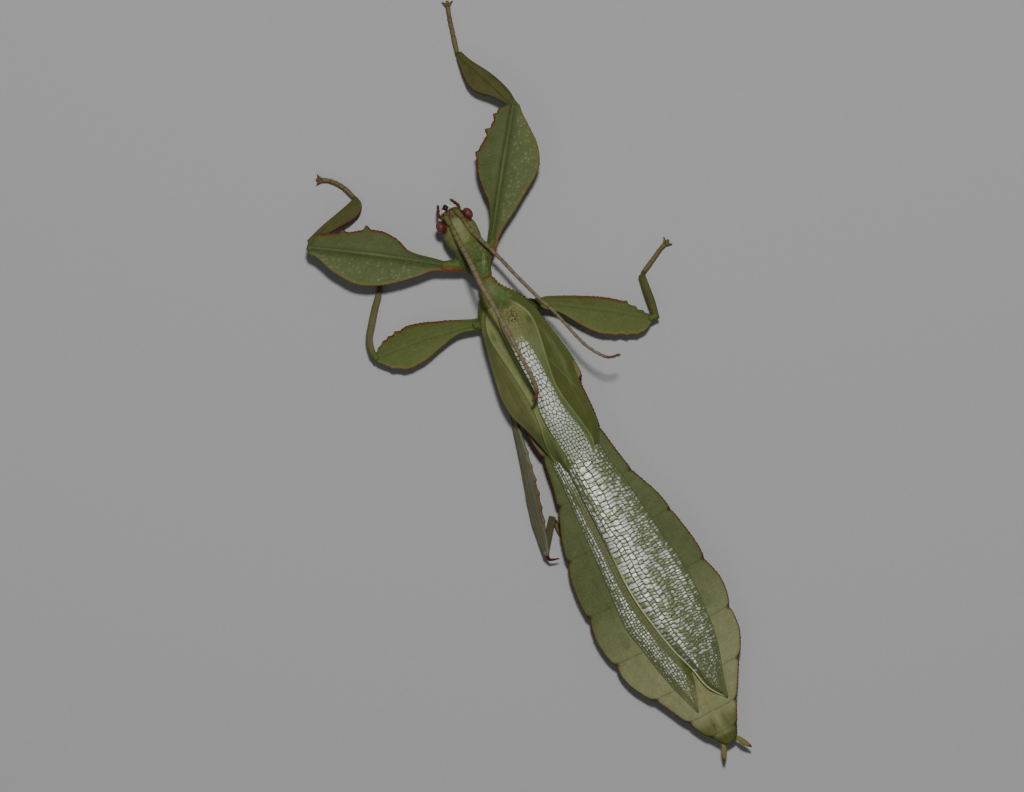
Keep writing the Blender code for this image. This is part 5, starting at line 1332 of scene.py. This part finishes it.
def build_tegmen(name, inner, outer, low, vein, seed, looks, right):
    """One fore wing: leathery outside its pale vein, finely lined, with a net on the right one."""
    x, y, across, rim, width = wing_grid(inner, outer, TEGMEN_GRID)
    vein_x = read(vein, y)
    beyond = (x - vein_x) * (-1.0 if right else 1.0)
    outside = step(beyond / 0.25)
    within = 1 - outside
    fan = (x - vein_x) / np.maximum(np.abs(read(outer, y) - vein_x), 0.4)
    lines = np.sin(np.abs(fan) * 34.0 + 0.25 * y)
    inner_lines = np.sin((x - vein_x) * 13.0 + 0.2 * y)
    rise = 0.06 * hump(beyond, 0.08) + 0.008 * lines * outside + 0.008 * inner_lines * within
    rise = rise + 0.012 * ripple(x, y, 1.4, seed)
    tint = mix(looks.inner[:], looks.leather[:], outside)
    tint = tint * (1.0 + 0.03 * lines * outside + 0.05 * inner_lines * within)[..., None]
    if right:
        spotted = step((0.06 - net_cells(x, y, (0.26, 0.3), 77.0)[0]) / 0.05)
        fresh = step((y - 14.5) / 3.0) * within
        tint = over(tint, (tone(112, 120, 80), (0.3 + 0.6 * spotted) * fresh),
                    (tone(90, 101, 57), 0.8 * step((y - 18.0) / 2.5) * fresh))
    else:
        tint = over(tint, (tone(104, 105, 62), 0.8 * outside),
                    # Painted light: the inner strip is painted lighter to offset the feeler's shadow that
                    # falls on it.
                    (tone(110, 117, 66), 0.9 * step((y - 15.5) / 2.5) * within),
                    (tone(88, 98, 54), 0.8 * step((y - 24.0) / 3.0)))
    tint = tint * (1.0 + 0.08 * ripple(x, y, 1.7, seed + 1.0))[..., None]
    mottle = 0.75 + 0.25 * ripple(x, y, 0.8, seed + 4.0)
    # Painted light: the left shoulder is painted lighter than the right to offset the feeler's shadow.
    shoulder = tone(121, 122, 76) if right else tone(130, 131, 82)
    root = hump(np.hypot((beyond + 0.4) / 0.45, (y - 14.2) / 0.8), 0.8)
    pale = hump(beyond, 0.055) * step((y - 11.0) / 1.0) * (0.75 + 0.25 * ripple(x, y, 2.0, 1.0))
    tint = over(tint, (shoulder, 0.85 * hump(y - 12.6, 2.6) * within * mottle),
                (tone(60, 82, 38), 0.75 * root),
                (tone(72, 90, 44), 0.85 * hump(x + 0.7, 0.65) * step((12.2 - y) / 0.8)),
                (looks.vein[:], 0.8 * pale),
                (tone(56, 60, 30), 0.4 * hump(beyond - 0.17, 0.07) * step((y - 12.0) / 1.0)))
    gloss = 0.3 * step((y - 14.5) / 2.0)
    beneath = body_top(x, y) + GAP + 0.26 + LAYER * left_share(x) * step((2.5 - x) / 0.8)
    if not right:
        beneath = beneath - 0.3 * step((1.5 - x) / 0.4)
    sink = (low(x, y) + SKIN_MIDDLE - beneath) * step((y - 26.0) / 5.0)
    if right:
        rise, tint, gloss = right_net(x, y, vein_x, across * width, looks, rise, tint, gloss)
    speck = hump(np.hypot((x + 0.7) / 0.9, (y - 13.15) / 1.4), 0.8)
    _line, owner, near = net_cells(x, y, (0.17, 0.19), 3.0)
    dots = step((0.5 - near) / 0.2) * step((owner - 0.3) / 0.1)
    margin = step((0.16 - (1 - across) * width) / 0.1) * step((y - 20.0) / 3.0) * step((28.0 - y) / 3.0)
    tint = over(tint, (tone(44, 36, 22), np.clip(1.3 * speck, 0, 1) * dots),
                (tone(92, 50, 32), 0.5 * margin))
    rise = rise * np.clip(rim / 0.15, 0, 1)
    return wing_object(name, x, y, low, rise - sink, rim, tint, gloss, 0.45)


class LEAF_OT_wings(bpy.types.Operator):
    """Build the two netted hind wings and the two fore wings over them"""
    bl_idname = "leaf_insect.wings"
    bl_label = "Wings"

    def execute(self, context):
        looks = context.scene.leaf_wings
        glassy = membrane("wing_membrane", 0.3, 0.9, 0.25)
        leathery = membrane("fore_wing_leather", 0.32, 0.0, 0.35)
        hindwings = {"left": (HINDWING_LEFT_INNER, HINDWING_LEFT_OUTER, hindwing_left_low, 4.0),
                     "right": (HINDWING_RIGHT_INNER, HINDWING_RIGHT_OUTER, hindwing_right_low, 9.0)}
        tegmina = {"left": (TEGMEN_LEFT_INNER, TEGMEN_LEFT_OUTER, tegmen_left_low, VEIN_LEFT, 2.0),
                   "right": (TEGMEN_RIGHT_INNER, TEGMEN_RIGHT_OUTER, tegmen_right_low, VEIN_RIGHT, 5.0)}
        for side_name, shape in hindwings.items():
            wing = build_hindwing("hindwing_%s_net" % side_name, *shape, looks, side_name == "right")
            dress(wing, glassy, "hindwing", "hindwing_" + side_name)
        for side_name, shape in tegmina.items():
            wing = build_tegmen("tegmen_%s_leather" % side_name, *shape, looks, side_name == "right")
            dress(wing, leathery, "tegmen", "tegmen_" + side_name)
        return {"FINISHED"}


# Paths of the antennae from the head to the tip.
ANTENNAE = {
    "left": [(0.72, -0.6, 4.38), (0.62, 0.6, 4.6), (0.68, 2.3, 5.0), (0.66, 4.0, 5.75),
             (0.7, 6.2, 6.95), (0.78, 8.1, 7.95), (0.64, 11.2, 9.25), (0.6, 14.7, 9.9),
             (0.58, 18.8, 9.65), (0.62, 21.3, 8.8), (1.0, 22.3, 8.3), (1.75, 22.85, 7.8)],
    "right": [(-0.75, -0.7, 4.2), (-0.95, 0.4, 4.34), (-1.16, 2.0, 4.34), (-1.63, 3.4, 4.18),
              (-2.16, 5.0, 4.06), (-2.7, 6.7, 4.15), (-3.3, 8.9, 4.35), (-4.0, 11.2, 4.62),
              (-4.5, 12.8, 4.95), (-5.25, 14.8, 5.35), (-6.05, 17.9, 6.05), (-6.6, 19.8, 6.55),
              (-7.3, 21.2, 6.95), (-8.3, 22.4, 7.25), (-9.6, 22.75, 7.4)],
}


class LEAF_PG_feelers(bpy.types.PropertyGroup):
    """Sizes and colours of the antennae and their hair."""
    tan: colour("Feeler", "Antennae", 122, 107, 85)
    joint: colour("Joint", "Lines between the antennae's joints", 72, 50, 38)
    tip: colour("Tip", "Last joints", 108, 58, 52)
    hair: colour("Hair", "Fine hair on the antennae", 116, 100, 78)
    middle: length("Middle Radius", "Radius of the antennae half way", 0.00024, 0.0001, 0.001)
    hairs: whole("Hairs", "Hairs on each antenna", 1900, 0, 8000)
    hair_length: length("Hair Length", "Length of the hair on the antennae", 0.0002, 0.0, 0.001)
    hair_width: length("Hair Width", "Width of a hair at its root", 0.000022, 0.00001, 0.0002)


# Side of a hair's own patch on the OFBake map.
PATCH = 0.003


def spikes(name, roots, ways, sizes, width, homes, tint):
    """Fine tapered hairs in one mesh, each with its own small patch at its home on the OFBake map."""
    number = len(roots)
    ways = ways / np.linalg.norm(ways, axis=1)[:, None]
    helper = np.where(np.abs(ways[:, 2:3]) > 0.8, [[1.0, 0.0, 0.0]], [[0.0, 0.0, 1.0]])
    across = np.cross(ways, helper)
    across /= np.linalg.norm(across, axis=1)[:, None]
    third = np.cross(ways, across)
    points = np.zeros((number, 7, 3))
    pattern = [(2, 1, 0)]
    for corner in range(3):
        turn = 2 * math.pi * corner / 3
        ring = across * math.cos(turn) + third * math.sin(turn)
        points[:, corner] = roots + ring * width
        points[:, 3 + corner] = roots + ways * sizes[:, None] * 0.55 + ring * width * 0.62
        after = (corner + 1) % 3
        pattern += [(corner, after, 3 + after, 3 + corner), (3 + corner, 3 + after, 6)]
    points[:, 6] = roots + ways * sizes[:, None]
    points[:, 6, 2] += 0.04 * sizes
    faces = [tuple(hair * 7 + index for index in face) for hair in range(number) for face in pattern]
    item = object_from(name, points.reshape(-1, 3), faces, np.broadcast_to(tint, (number * 7, 3)),
                       np.zeros(number * 7))
    patch = np.array([(0, 0), (1, 0), (0.5, 1), (0.1, 0.1), (0.9, 0.1), (0.5, 0.8), (0.5, 0.4)]) * PATCH
    places = (homes[:, None] * 0.99 + patch[None]).reshape(-1, 2)
    layer = item.data.uv_layers.new(name="OFBake")
    corners = stored(item.data.loops, "vertex_index", 1, np.int64).ravel()
    layer.data.foreach_set("uv", places[corners].ravel())
    return item


def feeler(name, path, looks):
    """One antenna: base joint, collar and a jointed whip that thins to its red tip."""
    size = path_length(path)
    rows, sides = 520, 22
    lead = np.linspace(0.0, 1.0, rows)
    centre, forward, side, up = frames(path, lead)
    where = lead * size
    bulk, slim = (0.05, 0.0) if "left" in name else (-0.05, 0.05)
    radius = np.interp(where, [0.0, 0.5, 0.95, 1.1, 1.6, 1.75, 3.0, 8.0, 14.0, size - 1.5, size],
                       [0.31, 0.34, 0.32, 0.25, 0.29, 0.29, 0.3 - 0.4 * slim, looks.middle / MM + bulk,
                        looks.middle / MM - slim, 0.19 - 0.6 * slim + max(bulk, 0.0),
                        0.12 + max(bulk, 0.0)])
    steps = 0.75 + 0.45 * np.minimum(np.arange(26), 12) / 12
    joints = np.concatenate([[1.05, 1.65], 1.65 + np.cumsum(steps)])
    joints = joints[joints < size - 0.5]
    gap = np.min(np.abs(where[:, None] - joints[None]), axis=1)
    radius = radius * (1.0 - 0.13 * hump(gap, 0.07))
    rings = rings_round(centre, side, up, radius, turns(sides))
    first = centre[0] - forward[0] * 0.2 + (rings[0] - centre[0]) * 0.75
    last = centre[-1] + forward[-1] * 0.08 + (rings[-1] - centre[-1]) * 0.55
    rings = np.concatenate([first[None], rings, last[None]])
    tint = over(looks.tan[:], (tone(104, 100, 66), step((9.0 - where) / 6.0)),
                (tone(92, 90, 54), step((1.9 - where) / 0.6)), (looks.joint[:], 0.4 * hump(gap, 0.1)),
                (looks.tip[:], step((where - size + 2.4) / 1.2)))
    hubs = [centre[0] - forward[0] * 0.28, centre[-1] + forward[-1] * 0.14]
    return ring_object(name, rings, hubs, np.repeat(capped(tint)[:, None], sides, 1),
                       np.zeros((rows + 2, sides)))


def feeler_hair(name, path, looks, seed):
    """Fine hair round an antenna, leaning to its tip."""
    generator = np.random.default_rng(seed)
    number = looks.hairs
    size = path_length(path)
    lead = np.sort(generator.uniform(1.2 / size, 0.995, number))
    turn = generator.uniform(0, 2 * math.pi, number)
    centre, forward, side, up = frames(path, lead)
    slim = 0.0 if "left" in name else 0.05
    radius = np.interp(lead * size, [0.0, 1.6, 6.0, 14.0, size - 1.5, size],
                       [0.3, 0.28, 0.26 - 0.7 * slim, 0.23 - slim, 0.2 - slim, 0.11])
    out = side * np.cos(turn)[:, None] + up * np.sin(turn)[:, None]
    ways = out * generator.uniform(0.55, 1.0, number)[:, None]
    ways = ways + forward * generator.uniform(0.6, 1.1, number)[:, None]
    sizes = looks.hair_length / MM * generator.uniform(0.55, 1.15, number)
    homes = np.stack([lead, turn / (2 * math.pi)], -1)
    return spikes(name, centre + out * (radius - 0.03)[:, None], ways, sizes, looks.hair_width / MM,
                  homes, looks.hair[:])


class LEAF_OT_feelers(bpy.types.Operator):
    """Build the two antennae with their fine hair"""
    bl_idname = "leaf_insect.feelers"
    bl_label = "Antennae"

    def execute(self, context):
        looks = context.scene.leaf_feelers
        stem = cuticle("feeler_skin", tone(150, 134, 100), 9.0, 0.3, 0.1, 0.62, 0.5)
        hair = glossy_paint("feeler_hair", 0.55, 0.0, 20.0, 0.1)
        for index, (side_name, path) in enumerate(ANTENNAE.items()):
            whip = feeler("antenna_%s_whip" % side_name, path, looks)
            dress(whip, stem, "antenna", "antenna_" + side_name)
            fuzz = feeler_hair("antenna_%s_hair" % side_name, path, looks, 31 + index)
            dress(fuzz, hair, "antenna")
        return {"FINISHED"}


class LEAF_PG_face(bpy.types.PropertyGroup):
    """Sizes and colours of the eyes and mouthparts."""
    eye: colour("Eye", "Compound eyes", 106, 56, 54)
    eye_rim: colour("Eye Rim", "Lower part and rim of the eyes", 74, 38, 32)
    palp: colour("Palp", "Palps", 74, 38, 32)
    mandible: colour("Mandible", "Jaws", 30, 16, 12)
    lip: colour("Lip", "Glassy lip over the jaws", 168, 170, 160)
    facets: whole("Facets", "Lenses over a whole eye", 900, 50, 4000)
    lens: length("Lens Rise", "How far each lens stands out", 0.000009, 0.0, 0.0001)


# Middles and radii of the eyes, paths of the palps, and radii of the other mouthparts.
EYES = {"left": (1.7, 0.05, 3.3), "right": (-1.72, 0.1, 3.3)}
EYE_RADII = np.array([0.6, 0.74, 0.78])
PALPS = {"left": [(1.15, -0.85, 2.6), (1.36, -1.3, 2.4), (1.12, -1.85, 2.35), (0.87, -2.38, 2.45)],
         "right": [(-1.1, -0.8, 2.6), (-1.22, -1.3, 2.4), (-1.0, -1.85, 2.35), (-0.74, -2.35, 2.45)]}
JAW_RADII = [0.25, 0.22, 0.1]
BEAD_RADII = [0.3, 0.35, 0.27]
LIP_RADII = [0.82, 0.84, 0.55]
# How many points of an eye are compared with its lenses at a time.
EYE_BATCH = 8000


def eye(name, centre, looks):
    """A compound eye: an ellipsoid covered in small domed lenses."""
    made = bmesh.new()
    bmesh.ops.create_icosphere(made, subdivisions=6, radius=1.0)
    mesh = bpy.data.meshes.new(name)
    made.to_mesh(mesh)
    made.free()
    points = stored(mesh.vertices, "co")
    points /= np.linalg.norm(points, axis=1)[:, None]
    number = np.arange(looks.facets) + 0.5
    tilt = np.arccos(1 - 2 * number / looks.facets)
    spin = math.pi * (1 + 5 ** 0.5) * number
    lenses = np.stack([np.sin(tilt) * np.cos(spin), np.sin(tilt) * np.sin(spin), np.cos(tilt)], -1)
    nearest = np.zeros(len(points))
    for start in range(0, len(points), EYE_BATCH):
        batch = slice(start, start + EYE_BATCH)
        nearest[batch] = (points[batch] @ lenses.T).max(1)
    pitch = math.sqrt(4 * math.pi / looks.facets) * 0.56
    dome = np.sqrt(np.clip(1 - (np.arccos(np.clip(nearest, -1, 1)) / pitch) ** 2, 0, 1))
    surface = points * EYE_RADII * (1 + looks.lens / MM * (dome[:, None] - 1) / 0.7)
    mesh.vertices.foreach_set("co", to_frame(surface + np.array(centre)).ravel())
    mesh.shade_smooth()
    item = place_object(name, mesh)
    sign = 1.0 if centre[0] > 0 else -1.0
    tint = over(looks.eye[:], (looks.eye_rim[:], step((0.25 - points[:, 2]) / 0.9)),
                (looks.eye_rim[:], 0.8 * step((0.35 - points[:, 0] * sign) / 0.5)),
                (tone(40, 14, 18), 0.6 * (1 - step(dome / 0.5))))
    set_paint(item, tint, np.ones(len(points)))
    return item


def palp(name, path, looks):
    """A palp of four swollen joints."""
    rows, sides = 90, 20
    lead = np.linspace(0, 1, rows)
    centre, forward, side, up = frames(path, lead)
    inside = lead * 4.0 - np.floor(np.minimum(lead * 4.0, 3.999))
    radius = 0.17 + 0.05 * np.sin(np.clip(inside, 0, 1) * math.pi)
    radius = radius * np.interp(lead, [0, 0.6, 1], [1.0, 0.95, 0.68])
    rings = rings_round(centre, side, up, radius, turns(sides))
    tint = mix(looks.palp[:], tone(104, 66, 52), 0.6 * (hump(inside, 0.1) + hump(inside - 1, 0.1)))
    hubs = [centre[0] - forward[0] * 0.1, centre[-1] + forward[-1] * 0.1]
    return ring_object(name, rings, hubs, np.repeat(tint[:, None], sides, 1), np.full((rows, sides), 0.5))


class LEAF_OT_face(bpy.types.Operator):
    """Build the compound eyes, palps, lip and jaws"""
    bl_idname = "leaf_insect.face"
    bl_label = "Eyes and Mouthparts"

    def execute(self, context):
        looks = context.scene.leaf_face
        glass = glossy_paint("eye_lens", 0.45, 0.05, 14.0, 0.15)
        horn = glossy_paint("jaw_horn", 0.45, 0.06, 9.0, 0.2)
        soft = cuticle("palp_skin", tone(120, 70, 58), 9.0, 0.3, 0.1, 0.5, 0.4)
        for side_name, centre in EYES.items():
            dress(eye("eye_%s_lens" % side_name, centre, looks), glass, "eye", "eye_" + side_name)
        for side_name, path in PALPS.items():
            dress(palp("palp_%s_joints" % side_name, path, looks), soft, "palp", "palp_" + side_name)
        jaws = []
        for way in (-1.0, 1.0):
            path = [(0.15 + way * out, y, 2.2) for out, y in ((0.42, -1.3), (0.36, -1.7), (0.1, -1.95))]
            jaws.append(tube("jaw", path, JAW_RADII, 18, 20, looks.mandible[:]))
        bead = [(0.22, -1.5, 3.2), (0.22, -1.66, 3.2), (0.22, -1.84, 3.12)]
        jaws.append(tube("bead", bead, BEAD_RADII, 28, 20, looks.mandible[:], flatten=0.8))

        def shade(along, turn):
            patches = np.sin(turn * 3.0 + along * 5.0) * 0.5 + 0.5
            glints = hump(along - 0.66, 0.2) * hump(np.abs(np.cos(turn)) - 0.6, 0.27)
            return over(looks.lip[:], (tone(84, 78, 52), step((0.3 - along) / 0.25)),
                        (tone(92, 92, 78), 0.6 * patches), (tone(196, 198, 190), 0.8 * glints))

        lip = [(0.03, -0.9, 3.15), (0.03, -1.35, 3.1), (0.03, -1.72, 2.85)]
        jaws.append(tube("lip", lip, LIP_RADII, 40, 26, shade, flatten=0.36))
        dress(join(jaws, "mouth_jaws"), horn, "mouth_dark", "mouthparts")
        return {"FINISHED"}


# Paths of the cerci from the body to the tip, and their radii along them.
CERCI = {"left": [(0.75, 68.2, 2.15), (1.1, 69.1, 2.15), (1.6, 70.1, 2.1)],
         "right": [(-0.95, 68.3, 2.15), (-1.4, 69.2, 2.15), (-1.9, 70.05, 2.1)]}
CERCUS_RADII = [0.2, 0.31, 0.33, 0.27, 0.12]


class LEAF_PG_tail(bpy.types.PropertyGroup):
    """Sizes and colours of the cerci."""
    blade: colour("Cercus", "Blades at the tail", 114, 108, 60)
    tip: colour("Cercus Tip", "Tips of the blades", 90, 42, 26)


class LEAF_OT_tail(bpy.types.Operator):
    """Build the two cerci at the tail"""
    bl_idname = "leaf_insect.tail"
    bl_label = "Cerci"

    def execute(self, context):
        looks = context.scene.leaf_tail
        skin = cuticle("cercus_skin", tone(190, 180, 110), 8.0, 0.3, 0.1, 0.48, 0.4)
        for side_name, path in CERCI.items():
            size = path_length(path)

            def tint(along, turn, size=size):
                return over(looks.blade[:], (looks.tip[:], step((along - size + 0.45) / 0.35)),
                            (tone(120, 70, 34), 0.6 * step((np.abs(np.cos(turn)) - 0.85) / 0.15)))

            item = tube("cercus_%s_blade" % side_name, path, CERCUS_RADII, 22, 50, tint, flatten=0.62)
            dress(item, skin, "cercus", "cercus_" + side_name)
        return {"FINISHED"}


class LEAF_PG_stage(bpy.types.PropertyGroup):
    """The floor, lights and camera."""
    floor: colour("Floor", "Plain pale floor", 156, 156, 157)
    distance: length("Camera Distance", "Height of the camera above the floor", 0.7, 0.2, 3.0)
    frame_width: length("Frame Width", "Width of the picture at the insect", 0.11866, 0.05, 0.5)
    key: watts("Key Light", "Power of the key light", 1.93)
    fill: watts("Fill Light", "Power of the fill light", 0.29)
    sky: share("Sky", "Strength of the light from all round", 0.085, 0.0, 2.0)


# Directions in the plan that run right and up in the picture, and the picture's middle.
PICTURE_RIGHT = Vector((-0.8839, 0.4676, 0.0)).normalized()
PICTURE_UP = Vector((-0.4676, -0.8839, 0.0)).normalized()
PICTURE_MIDDLE = (3.596, 21.17, 0.0)
# Places of the lights from the picture's middle in metres (right, up and above), sides and tints.
KEY_PLACE, KEY_SIZE, KEY_TINT = (0.02, 0.185, 0.55), 0.065, (1.0, 1.0, 0.97)
FILL_PLACE, FILL_SIZE, FILL_TINT = (-0.35, -0.5, 0.6), 0.5, (0.97, 0.98, 1.0)
SKY_TINT = (0.95, 0.97, 1.0, 1.0)
# Half of the floor's side and the height at which the picture's width is measured, in metres, and
# the width of the camera's sensor in millimetres.
FLOOR_HALF = 0.9
WIDTH_HEIGHT = 0.003
SENSOR = 36.0


def area_light(name, middle, offset, size, power, tint):
    """A square soft light beside the picture's middle, aimed at it."""
    right, up, above = offset
    place = middle + PICTURE_UP * up + PICTURE_RIGHT * right + Vector((0, 0, above))
    data = bpy.data.lights.new(name, "AREA")
    data.size = size
    data.energy = power
    data.color = tint
    lamp = place_object(name, data)
    lamp.location = place
    lamp.rotation_mode = "QUATERNION"
    lamp.rotation_quaternion = (middle - place).to_track_quat("-Z", "Y")


class LEAF_OT_stage(bpy.types.Operator):
    """Lay the floor, set the soft lights and place the camera straight above"""
    bl_idname = "leaf_insect.stage"
    bl_label = "Studio"

    def execute(self, context):
        looks = context.scene.leaf_stage
        middle = Vector(to_frame([PICTURE_MIDDLE])[0])
        mesh = bpy.data.meshes.new("floor")
        half = FLOOR_HALF
        corners = [(-half, -half, 0.0), (half, -half, 0.0), (half, half, 0.0), (-half, half, 0.0)]
        mesh.from_pydata(corners, [], [(0, 1, 2, 3)])
        floor = place_object("floor", mesh)
        made, tree, shader, place = material("floor_paper")
        pale = looks.floor[:]
        grain = ramp_node(tree, noise_node(tree, place, 1.5), 0.3, 0.7)
        paper = blend_node(tree, grain, tuple(value * 0.97 for value in pale), pale)
        fill_sockets(tree, shader, {"Base Color": paper, "Roughness": 0.9})
        keep_material(floor, made)
        area_light("key_light", middle, KEY_PLACE, KEY_SIZE, looks.key, KEY_TINT)
        area_light("fill_light", middle, FILL_PLACE, FILL_SIZE, looks.fill, FILL_TINT)
        world = bpy.data.worlds.new("studio")
        context.scene.world = world
        world.use_nodes = True
        background = world.node_tree.nodes["Background"]
        background.inputs["Color"].default_value = SKY_TINT
        background.inputs["Strength"].default_value = looks.sky
        data = bpy.data.cameras.new("camera")
        data.sensor_width = SENSOR
        data.lens = SENSOR * (looks.distance - WIDTH_HEIGHT) / looks.frame_width
        data.clip_start = 0.01
        data.clip_end = 5.0
        camera = place_object("camera", data)
        camera.location = middle + Vector((0, 0, looks.distance))
        camera.rotation_mode = "QUATERNION"
        turn = Matrix((PICTURE_RIGHT, PICTURE_UP, Vector((0, 0, 1)))).transposed()
        camera.rotation_quaternion = turn.to_quaternion()
        context.scene.camera = camera
        return {"FINISHED"}


class LEAF_PT_panel(bpy.types.Panel):
    """Buttons that build the leaf insect's pieces"""
    bl_idname = "LEAF_PT_panel"
    bl_label = "Leaf Insect"
    bl_space_type = "VIEW_3D"
    bl_region_type = "UI"
    bl_category = "Leaf Insect"

    def draw(self, context):
        for holder, operator in zip(HOLDERS, OPERATORS):
            box = self.layout.box()
            box.operator(operator.bl_idname)
            looks = getattr(context.scene, holder[0])
            for name in holder[1].__annotations__:
                box.prop(looks, name)


HOLDERS = [("leaf_skin", LEAF_PG_skin), ("leaf_legs", LEAF_PG_legs), ("leaf_wings", LEAF_PG_wings),
           ("leaf_feelers", LEAF_PG_feelers), ("leaf_face", LEAF_PG_face), ("leaf_tail", LEAF_PG_tail),
           ("leaf_stage", LEAF_PG_stage)]
OPERATORS = [LEAF_OT_skin, LEAF_OT_legs, LEAF_OT_wings, LEAF_OT_feelers, LEAF_OT_face, LEAF_OT_tail,
             LEAF_OT_stage]


def register():
    for name, group in HOLDERS:
        bpy.utils.register_class(group)
        setattr(bpy.types.Scene, name, bpy.props.PointerProperty(type=group))
    for operator in OPERATORS:
        bpy.utils.register_class(operator)
    bpy.utils.register_class(LEAF_PT_panel)


def unregister():
    bpy.utils.unregister_class(LEAF_PT_panel)
    for operator in reversed(OPERATORS):
        bpy.utils.unregister_class(operator)
    for name, group in reversed(HOLDERS):
        delattr(bpy.types.Scene, name)
        bpy.utils.unregister_class(group)


def main():
    register()
    bpy.ops.leaf_insect.skin()
    bpy.ops.leaf_insect.legs()
    bpy.ops.leaf_insect.wings()
    bpy.ops.leaf_insect.feelers()
    bpy.ops.leaf_insect.face()
    bpy.ops.leaf_insect.tail()
    bpy.ops.leaf_insect.stage()


if __name__ == "__main__":
    main()
